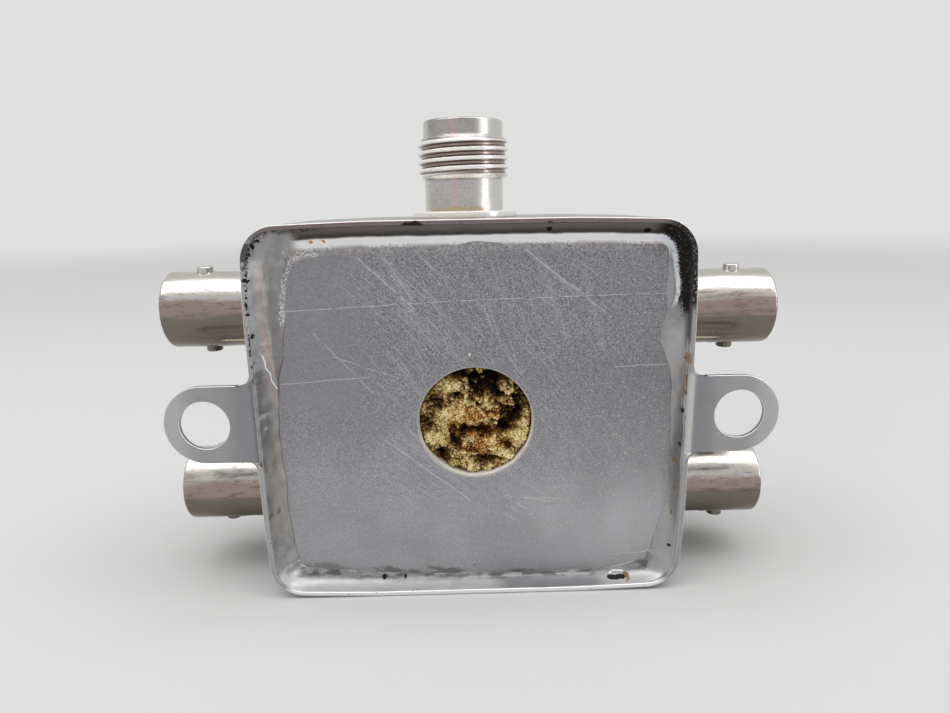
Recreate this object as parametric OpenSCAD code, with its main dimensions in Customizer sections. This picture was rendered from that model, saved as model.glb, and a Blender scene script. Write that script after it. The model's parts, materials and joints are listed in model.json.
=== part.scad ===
// Antenna coupler: a drawn sheet-metal case with one threaded coaxial jack on
// top and four bayonet coaxial jacks on its sides. The open front is closed by
// a plate soldered in behind the rim, and the case is filled with foam through
// a hole in that plate. Two ears bent out of the rim hold it to a panel.
//
// Millimetres. X points right, Y to the back and Z up. The origin is the middle
// of the footprint: the case stands on its bottom wall at Z = 0.

/* [Case] */
// Width of the case over its flat side walls
case_w = 51.5; // [48:0.5:60]
// Height of the case over its bottom and top walls
case_h = 46.2; // [44.8:0.2:54]
// Depth of the case from the front rim to the back wall
case_d = 22; // [20.5:0.5:30]
// Thickness of the drawn sheet
sheet_t = 0.6; // [0.4:0.1:0.8]
// Radius of the four corners, seen from the front
corner_r = 3.8; // [3:0.2:5]
// Outside radius of the edges round the back wall
back_r = 2; // [1.2:0.2:3]
// How far each wall falls away from its flat stretch at the corners
wall_bow = 0.45; // [0.2:0.05:0.8]
// Length of the flat stretch in the middle of each wall
wall_flat = 24; // [16:1:30]

/* [Ears] */
// Distance from the case wall to the centre of each ear hole
ear_reach = 5.7; // [5:0.05:8]
// Width of each ear, which is also the diameter of its round end
ear_w = 9.5; // [8:0.1:11]
// Diameter of the hole in each ear
ear_hole_d = 5.8; // [3:0.1:6.5]
// Inside radius of the bend between the wall and the ear
ear_bend_r = 0.8; // [0.4:0.1:1.2]
// Radius of the fillets at the root of each ear
ear_root_r = 1.5; // [0.5:0.1:2]

/* [Cover plate] */
// Thickness of the cover plate
plate_t = 1.6; // [1:0.1:2]
// Depth of the plate's front face behind the rim
plate_recess = 2.5; // [1.8:0.1:3]
// Gap between the edge of the plate and the case wall
plate_gap = 0.15; // [0.05:0.05:0.3]
// Diameter of the filling hole in the plate
fill_hole_d = 13.9; // [8:0.1:20]
// Distance of the filling hole to the right of the middle
fill_hole_x = 0.3; // [-4:0.1:4]
// Distance of the filling hole below the middle of the case
fill_hole_drop = 1.3; // [-4:0.1:4]
// Break on the front edge of the filling hole
fill_hole_break = 0.2; // [0.1:0.05:0.4]

/* [Solder seam] */
// Width of the solder seam on the face of the plate
seam_leg = 2.1; // [1:0.1:3.5]
// Height of the solder seam on the wall of the case
seam_rise = 1.7; // [0.8:0.1:1.7]

/* [Foam] */
// Gap that the foam leaves to the wall and to the pieces in it
foam_gap = 0.2; // [0.1:0.05:0.3]
// Depth of the foam behind the front face of the plate in the filling hole
foam_sink = 0.5; // [0.2:0.1:0.9]

/* [Jacks] */
// Distance of the jack axes behind the front rim
jack_setback = 11; // [10.5:0.1:12]
// Distance between the upper and the lower row of side jacks
row_pitch = 23.9; // [21:0.1:25]
// Distance of the middle between the two rows below the middle of the case
row_drop = 0.3; // [0:0.1:0.8]
// How far the left pair sits above its row and the right pair below it
row_skew = 0.45; // [0:0.05:0.8]
// Distance of the top jack to the left of the middle
top_jack_offset = 0.5; // [-2:0.1:2]
// Diameter of the thin flange that seats on the case wall
flange_d = 13; // [12.2:0.1:13.6]
// Thickness of that flange
flange_t = 0.75; // [0.5:0.05:1.2]
// Diameter of the smooth barrel
barrel_d = 9.65; // [9.6:0.01:9.7]
// Break on the outer edge of the barrel's mouth
mouth_break = 0.25; // [0.1:0.05:0.4]
// Inside diameter of the mouth
mouth_d = 8.1; // [8:0.05:8.2]
// Depth of the mouth
mouth_depth = 8.4; // [7.5:0.1:9]
// Length of a bayonet jack from the case wall to its mouth
bayonet_len = 12.25; // [11.4:0.05:14]
// Diameter of the two bayonet lugs
lug_d = 2; // [1.6:0.1:2.2]
// Distance over the outer ends of the two lugs
lug_span = 11; // [10.6:0.1:11.2]
// Distance of the lug axis behind the mouth
lug_setback = 4.4; // [4:0.1:6]
// Length of the threaded jack from the case wall to its mouth
threaded_len = 11.35; // [11.2:0.05:14]
// Outside diameter of the thread for the coupling ring
thread_d = 11.1; // [10.9:0.05:11.2]
// Length of the smooth nose in front of the thread
nose_len = 1.8; // [1.2:0.05:2.4]
// Length of the thread, with its chamfers
thread_len = 5.1; // [4:0.1:6]
// Chamfer at both ends of the thread
thread_break = 0.7; // [0.3:0.1:0.7]
// Diameter of the threaded stub that passes through the wall
stub_d = 9.4; // [8.6:0.1:9.6]
// Length of the stub behind the outer face of the wall
stub_len = 4.6; // [4.4:0.1:5.4]
// Radial clearance of the stub in the wall and in its nut
stub_gap = 0.1; // [0.05:0.05:0.2]
// Outside diameter of the lock washer inside the wall
washer_d = 12.4; // [12:0.1:12.6]
// Thickness of the lock washer
washer_t = 0.5; // [0.4:0.05:0.7]
// Width of the jack nut across its flats
nut_af = 11.4; // [11:0.1:11.6]
// Thickness of the jack nut
nut_t = 2.4; // [2:0.1:2.6]

/* [Insulator and contact] */
// Diameter of the insulator in the stub
insulator_d = 6; // [5.4:0.1:6.6]
// Diameter of the insulator's nose in the mouth
insulator_nose_d = 4.9; // [4.6:0.1:5.2]
// Depth of the insulator's nose behind the mouth
insulator_sink = 0.4; // [0.2:0.1:1]
// Radial clearance between body, insulator and contact
seat_gap = 0.02; // [0.01:0.01:0.05]
// Diameter of the centre contact
contact_d = 2.1; // [1.9:0.05:2.2]
// Diameter of the socket in the centre contact
socket_d = 1.4; // [1.3:0.05:1.45]
// Depth of that socket
socket_depth = 5; // [4:0.1:6]
// Width of the slots between the socket's fingers
slot_w = 0.3; // [0.2:0.05:0.4]
// How much shorter those slots are than the socket
slot_short = 1; // [0.5:0.1:1.5]
// Diameter of the solder cup at the inner end of the contact
cup_d = 1.8; // [1.6:0.1:2.2]
// Length of the solder cup behind the stub
cup_len = 3; // [2.4:0.1:3.2]

/* [Wiring] */
// Diameter of the connecting wires
wire_d = 0.8; // [0.5:0.1:1]
// Clearance of a wire or lead in its hole or cup
wire_gap = 0.1; // [0.05:0.05:0.15]
// Length of wire soldered into each cup
wire_in_cup = 1.5; // [1:0.1:2]
// Straight length of wire between the cup and its bend
wire_run = 1; // [0.6:0.1:1.4]
// Radius of the bend at the middle of the wire
wire_bend_r = 1.5; // [1.2:0.1:1.8]
// How far a wire or lead stands out behind the board
wire_tail = 0.7; // [0.4:0.1:1]

/* [Circuit board] */
// Thickness of the circuit board
board_t = 1.6; // [1:0.1:2]
// Width of board beyond the wires of the side jacks
board_margin_x = 2.3; // [1.6:0.1:3]
// Height of board beyond the wires of the side jacks
board_margin_z = 4; // [3.4:0.1:4.4]
// Length of the posts between the back wall and the board
post_len = 2.5; // [1.6:0.1:3]
// Diameter of the posts
post_d = 2.4; // [2:0.1:2.8]
// Diameter of the peg of each post, which passes through the board
peg_d = 1.2; // [1:0.1:1.4]
// Distance of the posts from the side edges of the board
post_inset_x = 5.4; // [5:0.1:6]
// Distance of the posts from the top and bottom edges of the board
post_inset_z = 2.1; // [1.8:0.1:2.4]

/* [Components] */
// Outside diameter of the ferrite ring cores
core_d = 9.4; // [8:0.1:9.6]
// Diameter of the hole in the ring cores
core_hole_d = 5; // [4:0.1:5.4]
// Height of the ring cores
core_h = 3.6; // [2.5:0.1:4]
// Thickness of the winding round a core
winding_t = 0.5; // [0.3:0.05:0.6]
// Part of the ring that the winding covers, in degrees
winding_angle = 300; // [240:5:330]
// Clearance between the winding and its core
winding_gap = 0.03; // [0.02:0.01:0.05]
// Distance of the outer ring cores from the middle of the board
core_step_x = 8.5; // [8:0.1:9]
// Gap between the upper ring core's winding and the wire of the top jack
core_wire_gap = 0.6; // [0.3:0.1:1]
// Distance of the two middle ring cores below the middle of the board
core_middle = 2.5; // [2.2:0.1:2.8]
// Distance of the lower ring core below the middle of the board
core_lower = 11; // [10.8:0.1:11.4]
// Diameter of the lead wires of the components
lead_d = 0.5; // [0.4:0.05:0.6]
// Diameter of a resistor's body
resistor_d = 2.3; // [1.8:0.1:2.5]
// Length of a resistor's body
resistor_len = 4; // [3:0.1:4.2]
// Distance between the two leads of a standing resistor
resistor_pitch = 2.5; // [2.2:0.1:2.7]
// Distance of the outer resistors from the middle of the board
resistor_x = 11; // [10.6:0.1:11.4]
// Height of the outer resistors above the middle of the board
resistor_z = 6; // [5:0.1:7]
// Diameter of a disc capacitor
capacitor_d = 5; // [4:0.1:5.2]
// Thickness of a disc capacitor
capacitor_t = 2; // [1.4:0.1:2.2]
// Distance of the capacitors from the middle of the board
capacitor_x = 10.2; // [9.6:0.1:10.6]
// Distance of the capacitors below the middle of the board
capacitor_drop = 10.8; // [10.6:0.1:11.2]
// Gap between a component's body and the board
stand_off = 0.3; // [0.2:0.05:0.6]

/* [Hidden] */
$fn = 96;
bow_fn = 1440;
over = 1;
front_y = -case_d / 2;
back_y = case_d / 2;
mid_z = case_h / 2;
rows_z = mid_z - row_drop;
jack_y = front_y + jack_setback;
plate_y = front_y + plate_recess;
plate_back_y = plate_y + plate_t;
fill_hole_z = mid_z - fill_hole_drop;
seat_d = flange_d + 0.1;
blend_lift = 0.02;

inner_back_y = back_y - sheet_t;
board_back_y = inner_back_y - post_len;
board_y = board_back_y - board_t;

wire_reach = stub_len + cup_len + wire_run + wire_bend_r;
wire_x = case_w / 2 - wire_reach;
row_z = row_pitch / 2;
board_w = 2 * (wire_x + board_margin_x);
board_h = row_pitch + 2 * (row_skew + board_margin_z);
ear_x = case_w / 2 + ear_reach;

nut_corner_r = nut_af / 2 / cos(30);
winding_d = core_d + 2 * (winding_gap + winding_t);
winding_hole_d = core_hole_d - 2 * (winding_gap + winding_t);
winding_h = core_h + 2 * (winding_gap + winding_t);
lead_inset = 8;
core_upper = case_h - wire_reach - rows_z - wire_d / 2 - core_wire_gap - winding_d / 2;

// Name, side (-1 left, 0 top, 1 right), row (1 upper, -1 lower), turn of lugs
JACKS = [
    ["top_jack", 0, 0, 0],
    ["upper_left_jack", -1, 1, -2],
    ["lower_left_jack", -1, -1, -4],
    ["upper_right_jack", 1, 1, 3],
    ["lower_right_jack", 1, -1, -6]
];
JACK_PIECES = ["body", "washer", "nut", "insulator", "contact", "wire"];

// Name, distance right of the middle, height above the middle, turn of winding
CORES = [
    ["input_transformer", 0, core_upper, 90],
    ["left_transformer", -core_step_x, -core_middle, 180],
    ["right_transformer", core_step_x, -core_middle, 0],
    ["divider_transformer", 0, -core_lower, 270]
];

// Name, distance right of the middle, height above the middle
RESISTORS = [
    ["left_resistor", -resistor_x, resistor_z],
    ["right_resistor", resistor_x, resistor_z],
    ["middle_resistor", 0, -core_middle - resistor_pitch / 2]
];
CAPACITORS = [
    ["left_capacitor", -capacitor_x, -capacitor_drop],
    ["right_capacitor", capacitor_x, -capacitor_drop]
];

function jack_len(j) = j[1] == 0 ? threaded_len : bayonet_len;
function jack_z(j) = rows_z + j[2] * row_z - j[1] * row_skew;

// Radius of the arc that falls by wall_bow between its flat and the corner
function bow_r(half) = (pow(half, 2) - pow(wall_flat / 2, 2)) / (2 * wall_bow);

// How far that arc's crown stands above the flat that cuts it off
function bow_crown(half) = pow(wall_flat / 2, 2) / (2 * bow_r(half));

// Places its children on a jack's axis: the outer face of the wall is at Z = 0,
// the mouth is on +Z, and local Y is the object's Y
module at_jack(j) {
    if (j[1] == 0)
        translate([-top_jack_offset, jack_y, case_h]) children();
    else
        translate([j[1] * case_w / 2, jack_y, jack_z(j)])
            rotate([0, 90 * j[1], 0]) children();
}

// Extrudes a front view between two depths
module slab(y0, y1) {
    translate([0, y1, 0]) rotate([90, 0, 0]) linear_extrude(y1 - y0) children();
}

// Front view of the case, moved in by a distance: a rounded rectangle whose
// sides are flat in the middle and bow towards the corners
module case_outline(inset) {
    half_w = case_w / 2;
    r = corner_r - inset;
    bow_w = bow_r(mid_z);
    bow_h = bow_r(half_w);
    translate([0, mid_z]) intersection() {
        union() {
            square([case_w - 2 * corner_r, case_h - 2 * inset], center = true);
            square([case_w - 2 * inset, case_h - 2 * corner_r], center = true);
            for (x = [-1, 1], z = [-1, 1])
                translate([x * (half_w - corner_r), z * (mid_z - corner_r)]) circle(r);
        }
        for (side = [-1, 1])
            translate([side * (bow_crown(mid_z) + half_w - bow_w), 0])
                circle(bow_w - inset, $fn = bow_fn);
        for (side = [-1, 1])
            translate([0, side * (bow_crown(half_w) + mid_z - bow_h)])
                circle(bow_h - inset, $fn = bow_fn);
    }
}

// A rectangle along X with two rounded corners at its far end
module round_end(near, far, half, r) {
    translate([near, -half]) square([far - near - r, 2 * half]);
    translate([near, r - half]) square([far - near, 2 * (half - r)]);
    for (side = [-1, 1]) translate([far - r, side * (half - r)]) circle(r);
}

// A solid of the case's shape, moved in by a distance, with rounded back edges
module case_solid(inset, y0, y1) {
    r = back_r - inset;
    lift = blend_lift - inset;
    intersection() {
        slab(y0, y1 + over) case_outline(inset);
        translate([0, 0, -over]) rotate([0, 0, 90]) linear_extrude(case_h + 2 * over)
            round_end(y0 - over, y1, case_w / 2 + lift, r);
        translate([-case_w / 2 - over, 0, mid_z]) rotate([90, 0, 90])
            linear_extrude(case_w + 2 * over) round_end(y0 - over, y1, mid_z + lift, r);
    }
}

// Front view of the right ear, with the fillets at its root
module ear_outline() {
    root_x = case_w / 2;
    start_x = root_x - sheet_t - over;
    half_root = ear_w / 2 + ear_root_r;
    difference() {
        union() {
            translate([start_x, -ear_w / 2]) square([ear_x - start_x, ear_w]);
            translate([ear_x, 0]) circle(d = ear_w);
            translate([start_x, -half_root])
                square([root_x + ear_root_r - start_x, 2 * half_root]);
        }
        for (side = [-1, 1])
            translate([root_x + ear_root_r, side * half_root]) circle(ear_root_r);
        translate([ear_x, 0]) circle(d = ear_hole_d);
    }
}

// The sheet that bends out of the right wall, seen from above: the outer face
// of the wall turns into the back face of the ear
module ear_sheet() {
    bend_x = case_w / 2 + ear_bend_r;
    bend_y = front_y + sheet_t + ear_bend_r;
    difference() {
        translate([bend_x, bend_y]) circle(ear_bend_r + sheet_t);
        translate([bend_x, bend_y]) circle(ear_bend_r);
        translate([bend_x, front_y - over]) square([2 * over + ear_bend_r, 4 * over + 2 * ear_bend_r]);
        translate([bend_x - 2 * over - ear_bend_r, bend_y])
            square([4 * over + 2 * ear_bend_r, 4 * over + ear_bend_r]);
    }
    translate([bend_x, front_y]) square([ear_x + ear_w - bend_x, sheet_t]);
}

// The right ear with its bend
module right_ear() {
    height = ear_w + 2 * ear_root_r;
    translate([0, 0, mid_z]) intersection() {
        translate([0, 0, -height / 2]) linear_extrude(height) ear_sheet();
        slab(front_y - over, front_y + 4 * over) ear_outline();
    }
}

// The stretch of the right wall's rim that the bend takes up
module ear_notch() {
    height = ear_w + 2 * ear_root_r;
    depth = sheet_t + ear_bend_r;
    translate([case_w / 2 - sheet_t - over, front_y - over, mid_z - height / 2])
        cube([sheet_t + 2 * over, depth + over, height]);
}

// One drawn sheet: walls, back and ears, with a flattened seat and a hole at each jack
module case_shell() {
    hole_r = stub_d / 2 + stub_gap;
    color("#a9a7a0") difference() {
        union() {
            difference() {
                case_solid(0, front_y, back_y);
                case_solid(sheet_t, front_y - over, inner_back_y);
                ear_notch();
                mirror([1, 0, 0]) ear_notch();
            }
            for (j = JACKS) at_jack(j) translate([0, 0, -sheet_t]) cylinder(h = sheet_t, d = seat_d);
            right_ear();
            mirror([1, 0, 0]) right_ear();
        }
        for (j = JACKS) at_jack(j) {
            translate([0, 0, -sheet_t - over]) cylinder(h = over, d = seat_d);
            translate([0, 0, -sheet_t - over]) cylinder(h = sheet_t + 2 * over, r = hole_r);
        }
    }
}

// A flat plate that stands a little inside the walls, with the filling hole
module cover_plate() {
    hole_r = fill_hole_d / 2;
    color("#8f8f8a") difference() {
        slab(plate_y, plate_back_y) case_outline(sheet_t + plate_gap);
        translate([fill_hole_x, plate_back_y + over, fill_hole_z]) rotate([90, 0, 0]) {
            cylinder(h = plate_t + 2 * over, r = hole_r);
            translate([0, 0, over + plate_t - fill_hole_break])
                cylinder(h = 2 * fill_hole_break, r1 = hole_r, r2 = hole_r + 2 * fill_hole_break);
        }
    }
}

// The opening that the seam leaves at a share of its rise above the plate
module seam_slice(share) {
    lip = 0.1;
    depth = 0.05;
    leg = seam_leg * pow(1 - share, 2) + lip;
    y = plate_y - share * seam_rise;
    slab(y - depth, y) offset(delta = -leg) case_outline(sheet_t);
}

// Solder run round the plate, as a hollow fillet against the wall
module solder_seam() {
    color("#c9c6bd") difference() {
        slab(plate_y - seam_rise, plate_y) case_outline(sheet_t);
        for (share = [0, 0.25, 0.5, 0.75]) hull() {
            seam_slice(share);
            seam_slice(share + 0.25);
        }
        hull() {
            seam_slice(0);
            translate([0, over, 0]) seam_slice(0);
        }
        translate([0, -over, 0]) seam_slice(1);
    }
}

// The outline of what a jack has inside the case, grown by a gap
module jack_inside(j, gap) {
    nut_end = sheet_t + washer_t + nut_t + gap;
    clamp_r = max(nut_corner_r, washer_d / 2) + gap;
    at_jack(j) {
        translate([0, 0, -nut_end]) cylinder(h = nut_end, r = clamp_r);
        translate([0, 0, -stub_len - gap]) cylinder(h = stub_len + gap, r = stub_d / 2 + gap);
        translate([0, 0, -stub_len - cup_len - gap])
            cylinder(h = stub_len + cup_len, r = cup_d / 2 + gap);
        wire_path(wire_d / 2 + gap);
    }
}

// Everything that the foam surrounds, grown by a gap
module inside_pieces(gap) {
    for (j = JACKS) jack_inside(j, gap);
    translate([-board_w / 2 - gap, board_y - gap, rows_z - board_h / 2 - gap])
        cube([board_w + 2 * gap, board_t + wire_tail + 2 * gap, board_h + 2 * gap]);
    for (c = CORES) on_board(c[1], c[2]) cylinder(h = winding_h + gap, r = winding_d / 2 + gap);
    for (r = RESISTORS) on_board(r[1], r[2]) {
        cylinder(h = stand_off + resistor_len + 2 * lead_d + gap, r = resistor_d / 2 + gap);
        translate([-lead_d - gap, 0, 0])
            cube([2 * (lead_d + gap), resistor_pitch + lead_d + gap,
                  stand_off + resistor_len + 2 * lead_d + gap]);
    }
    for (c = CAPACITORS) on_board(c[1], c[2])
        translate([-capacitor_d / 2 - lead_d - gap, -capacitor_t / 2 - gap, 0])
            cube([capacitor_d + 2 * (lead_d + gap), capacitor_t + 2 * gap,
                  stand_off + capacitor_d + gap]);
    for (x = [-1, 1], z = [-1, 1]) at_post(x, z)
        cylinder(h = post_len + board_t + wire_tail + gap, r = post_d / 2 + gap);
}

// Foam that fills the case behind the plate and comes up into the filling hole
module foam_fill() {
    plug_r = fill_hole_d / 2 - foam_gap;
    color("#c8ab6c") difference() {
        union() {
            case_solid(sheet_t + foam_gap, plate_back_y, inner_back_y - foam_gap);
            translate([fill_hole_x, plate_back_y + over, fill_hole_z]) rotate([90, 0, 0])
                cylinder(h = plate_t - foam_sink + over, r = plug_r);
        }
        inside_pieces(foam_gap);
    }
}

// Turned outline of a bayonet jack's outer side, from the flange to the mouth
function bayonet_side() = [
    [barrel_d / 2, flange_t],
    [barrel_d / 2, bayonet_len - mouth_break],
    [barrel_d / 2 - mouth_break, bayonet_len]
];

// The same for the threaded jack, with its thread at full diameter
function threaded_side() = let (top = threaded_len - nose_len, low = top - thread_len) [
    [barrel_d / 2, flange_t],
    [barrel_d / 2, low],
    [thread_d / 2, low + thread_break],
    [thread_d / 2, top - thread_break],
    [barrel_d / 2, top],
    [barrel_d / 2, threaded_len - mouth_break],
    [barrel_d / 2 - mouth_break, threaded_len]
];

// One turned piece: stub, flange and barrel, with the lugs set into the barrel
module jack_body(j) {
    length = jack_len(j);
    bore_r = insulator_d / 2 + seat_gap;
    lug_root = mouth_d / 2 + 0.2;
    side = j[1] == 0 ? threaded_side() : bayonet_side();
    color("#b9b4a4") at_jack(j) {
        rotate_extrude() polygon(concat(
            [[bore_r, -stub_len], [stub_d / 2, -stub_len], [stub_d / 2, 0],
             [flange_d / 2, 0], [flange_d / 2, flange_t]],
            side,
            [[mouth_d / 2, length], [mouth_d / 2, length - mouth_depth],
             [bore_r, length - mouth_depth]]
        ));
        if (j[1] != 0)
            for (end = [0, 180]) rotate([0, 0, end + j[3]])
                translate([lug_root, 0, length - lug_setback]) rotate([0, 90, 0])
                    cylinder(h = lug_span / 2 - lug_root, d = lug_d);
    }
}

// Lock washer with inner teeth, between the wall and the nut
module jack_washer(j) {
    teeth = 8;
    notch_w = 1.2;
    notch_depth = 0.5;
    inner_r = stub_d / 2 + stub_gap;
    color("#9c9a92") at_jack(j) translate([0, 0, -sheet_t - washer_t]) difference() {
        cylinder(h = washer_t, d = washer_d);
        translate([0, 0, -over]) cylinder(h = washer_t + 2 * over, r = inner_r);
        for (tooth = [0 : teeth - 1]) rotate([0, 0, tooth * 360 / teeth])
            translate([0, -notch_w / 2, -over])
                cube([inner_r + notch_depth, notch_w, washer_t + 2 * over]);
    }
}

// Thin hexagon nut, its corners broken on the inner side
module jack_nut(j) {
    bore_r = stub_d / 2 + stub_gap;
    corner_break = 0.4;
    color("#aaa79c") at_jack(j) translate([0, 0, -sheet_t - washer_t - nut_t]) difference() {
        intersection() {
            cylinder(h = nut_t, r = nut_corner_r, $fn = 6);
            rotate_extrude() polygon([
                [0, 0], [nut_corner_r - corner_break, 0],
                [nut_corner_r + over, (corner_break + over) / 2],
                [nut_corner_r + over, nut_t + over], [0, nut_t + over]
            ]);
        }
        translate([0, 0, -over]) cylinder(h = nut_t + 2 * over, r = bore_r);
    }
}

// Turned insulator: a wide part in the stub and a nose in the mouth
module jack_insulator(j) {
    shoulder = jack_len(j) - mouth_depth;
    bore_r = contact_d / 2 + seat_gap;
    color("#ece7d8") at_jack(j) rotate_extrude() polygon([
        [bore_r, -stub_len], [insulator_d / 2, -stub_len], [insulator_d / 2, shoulder],
        [insulator_nose_d / 2, shoulder], [insulator_nose_d / 2, jack_len(j) - insulator_sink],
        [bore_r, jack_len(j) - insulator_sink]
    ]);
}

// Centre contact: slotted socket in front, solder cup behind
module jack_contact(j) {
    tip = jack_len(j) - insulator_sink;
    slot_len = socket_depth - slot_short;
    color("#c9a24a") at_jack(j) difference() {
        union() {
            translate([0, 0, -stub_len]) cylinder(h = stub_len + tip, d = contact_d);
            translate([0, 0, -stub_len - cup_len]) cylinder(h = cup_len + over, d = cup_d);
        }
        translate([0, 0, tip - socket_depth]) cylinder(h = socket_depth + over, d = socket_d);
        for (turn = [0, 90]) rotate([0, 0, turn])
            translate([-contact_d, -slot_w / 2, tip - slot_len])
                cube([2 * contact_d, slot_w, slot_len + over]);
        translate([0, 0, -stub_len - cup_len - over])
            cylinder(h = wire_in_cup + wire_gap + over, d = wire_d + 2 * wire_gap);
    }
}

// A jack's wire as a solid of the given radius, on the jack's axis: out of the
// cup, round a bend and through the board
module wire_path(r) {
    bend_z = -stub_len - cup_len - wire_run;
    board_y_here = board_back_y + wire_tail - jack_y;
    translate([0, 0, bend_z]) cylinder(h = wire_run + wire_in_cup, r = r);
    translate([0, wire_bend_r, bend_z]) rotate([90, 0, 90]) rotate([0, 0, 180])
        rotate_extrude(angle = 90) translate([wire_bend_r, 0]) circle(r);
    translate([0, wire_bend_r, bend_z - wire_bend_r]) rotate([-90, 0, 0])
        cylinder(h = board_y_here - wire_bend_r, r = r);
}

// Bare wire from a contact's solder cup to the board
module jack_wire(j) {
    color("#b87c4c") at_jack(j) wire_path(wire_d / 2);
}

// Places its children on the front of the board, with their Z towards the
// front of the case and their Y up
module on_board(x, z) {
    translate([x, board_y, rows_z + z]) rotate([90, 0, 0]) children();
}

// A round hole through the board
module board_hole(x, z, d) {
    on_board(x, z) translate([0, 0, -board_t - over])
        cylinder(h = board_t + 2 * over, d = d);
}

// Board with a hole for each wire, lead and peg
module circuit_board() {
    lead_hole_d = lead_d + 2 * wire_gap;
    wire_hole_d = wire_d + 2 * wire_gap;
    color("#7f8a4e") difference() {
        translate([-board_w / 2, board_y, rows_z - board_h / 2]) cube([board_w, board_t, board_h]);
        for (j = JACKS) at_jack(j)
            translate([0, board_y - jack_y - over, -wire_reach]) rotate([-90, 0, 0])
                cylinder(h = board_t + 2 * over, d = wire_hole_d);
        for (c = CORES, side = [-1, 1])
            board_hole(c[1] + winding_lead_x(c, side), c[2] + winding_lead_z(c, side), lead_hole_d);
        for (r = RESISTORS, step = [0, resistor_pitch])
            board_hole(r[1], r[2] + step, lead_hole_d);
        for (c = CAPACITORS, side = [-1, 1])
            board_hole(c[1] + side * capacitor_d / 2, c[2], lead_hole_d);
        for (x = [-1, 1], z = [-1, 1])
            board_hole(x * (board_w / 2 - post_inset_x), z * (board_h / 2 - post_inset_z),
                       peg_d + 2 * wire_gap);
    }
}

// Places its children on a post's axis, with Z from the back wall to the front
module at_post(x, z) {
    translate([x * (board_w / 2 - post_inset_x), inner_back_y,
               rows_z + z * (board_h / 2 - post_inset_z)]) rotate([90, 0, 0]) children();
}

// Four posts on the back wall, each with a thin peg through the board
module board_posts() {
    color("#b5b1a6") for (x = [-1, 1], z = [-1, 1]) at_post(x, z) {
        cylinder(h = post_len, d = post_d);
        cylinder(h = post_len + board_t + wire_tail, d = peg_d);
    }
}

// Where the two leads of a winding go into the board: at its two ends
function winding_mid_r() = (winding_d + winding_hole_d) / 4;
function winding_lead_turn(c, side) = c[3] + side * (winding_angle / 2 - lead_inset);
function winding_lead_x(c, side) = winding_mid_r() * cos(winding_lead_turn(c, side));
function winding_lead_z(c, side) = winding_mid_r() * sin(winding_lead_turn(c, side));

// Ring core that lies flat on the board inside its winding
module transformer_core(c) {
    color("#4a4744") on_board(c[1], c[2]) translate([0, 0, winding_t + winding_gap])
        rotate_extrude() translate([core_hole_d / 2, 0])
            square([(core_d - core_hole_d) / 2, core_h]);
}

// Winding as a sleeve round most of the ring, with its two leads
module transformer_winding(c) {
    ring_w = (winding_d - winding_hole_d) / 2;
    color("#a5582f") on_board(c[1], c[2]) {
        rotate([0, 0, c[3] - winding_angle / 2]) rotate_extrude(angle = winding_angle)
            translate([winding_hole_d / 2, 0]) difference() {
                square([ring_w, winding_h]);
                translate([winding_t, winding_t]) square([ring_w - 2 * winding_t, core_h + 2 * winding_gap]);
            }
        for (side = [-1, 1]) rotate([0, 0, winding_lead_turn(c, side)])
            translate([winding_mid_r(), 0, -board_t - wire_tail])
                cylinder(h = board_t + wire_tail + winding_t / 2, d = lead_d);
    }
}

// Resistor standing on one end, its upper lead bent back down to the board
module resistor(r) {
    top = stand_off + resistor_len;
    foot = -board_t - wire_tail;
    color("#9a8f7a") on_board(r[1], r[2]) {
        translate([0, 0, stand_off]) cylinder(h = resistor_len, d = resistor_d);
        translate([0, 0, foot]) cylinder(h = stand_off + lead_d - foot, d = lead_d);
        translate([-lead_d / 2, -lead_d / 2, top - lead_d / 2])
            cube([lead_d, resistor_pitch + lead_d, 1.5 * lead_d]);
        translate([0, resistor_pitch, foot]) cylinder(h = top - foot, d = lead_d);
    }
}

// Disc capacitor on two straight leads
module capacitor(c) {
    middle = stand_off + capacitor_d / 2;
    color("#b98a3e") on_board(c[1], c[2]) {
        translate([0, capacitor_t / 2, middle]) rotate([90, 0, 0])
            cylinder(h = capacitor_t, d = capacitor_d);
        for (side = [-1, 1]) translate([side * capacitor_d / 2, 0, -board_t - wire_tail])
            cylinder(h = board_t + wire_tail + middle, d = lead_d);
    }
}

case_shell();
cover_plate();
solder_seam();
foam_fill();
circuit_board();
board_posts();
for (j = JACKS) {
    jack_body(j);
    jack_washer(j);
    jack_nut(j);
    jack_insulator(j);
    jack_contact(j);
    jack_wire(j);
}
for (c = CORES) {
    transformer_core(c);
    transformer_winding(c);
}
for (r = RESISTORS) resistor(r);
for (c = CAPACITORS) capacitor(c);
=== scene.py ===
# %% [markdown]
# # An antenna coupler, dressed around its CAD frame
#
# The object is a small case drawn from one sheet of plated steel. A flat plate is soldered
# into its open front, foam shows in a round hole in that plate, one threaded jack stands on
# top and four bayonet jacks stick out of its sides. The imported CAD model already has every
# piece at its true size and place, so this lesson never measures a place by eye: it asks the
# frame where each piece is and builds a finer surface there.

# %% Load the frame
import json
import math

import bmesh
import bpy
import numpy as np
from mathutils import Matrix, Vector, noise

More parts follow.
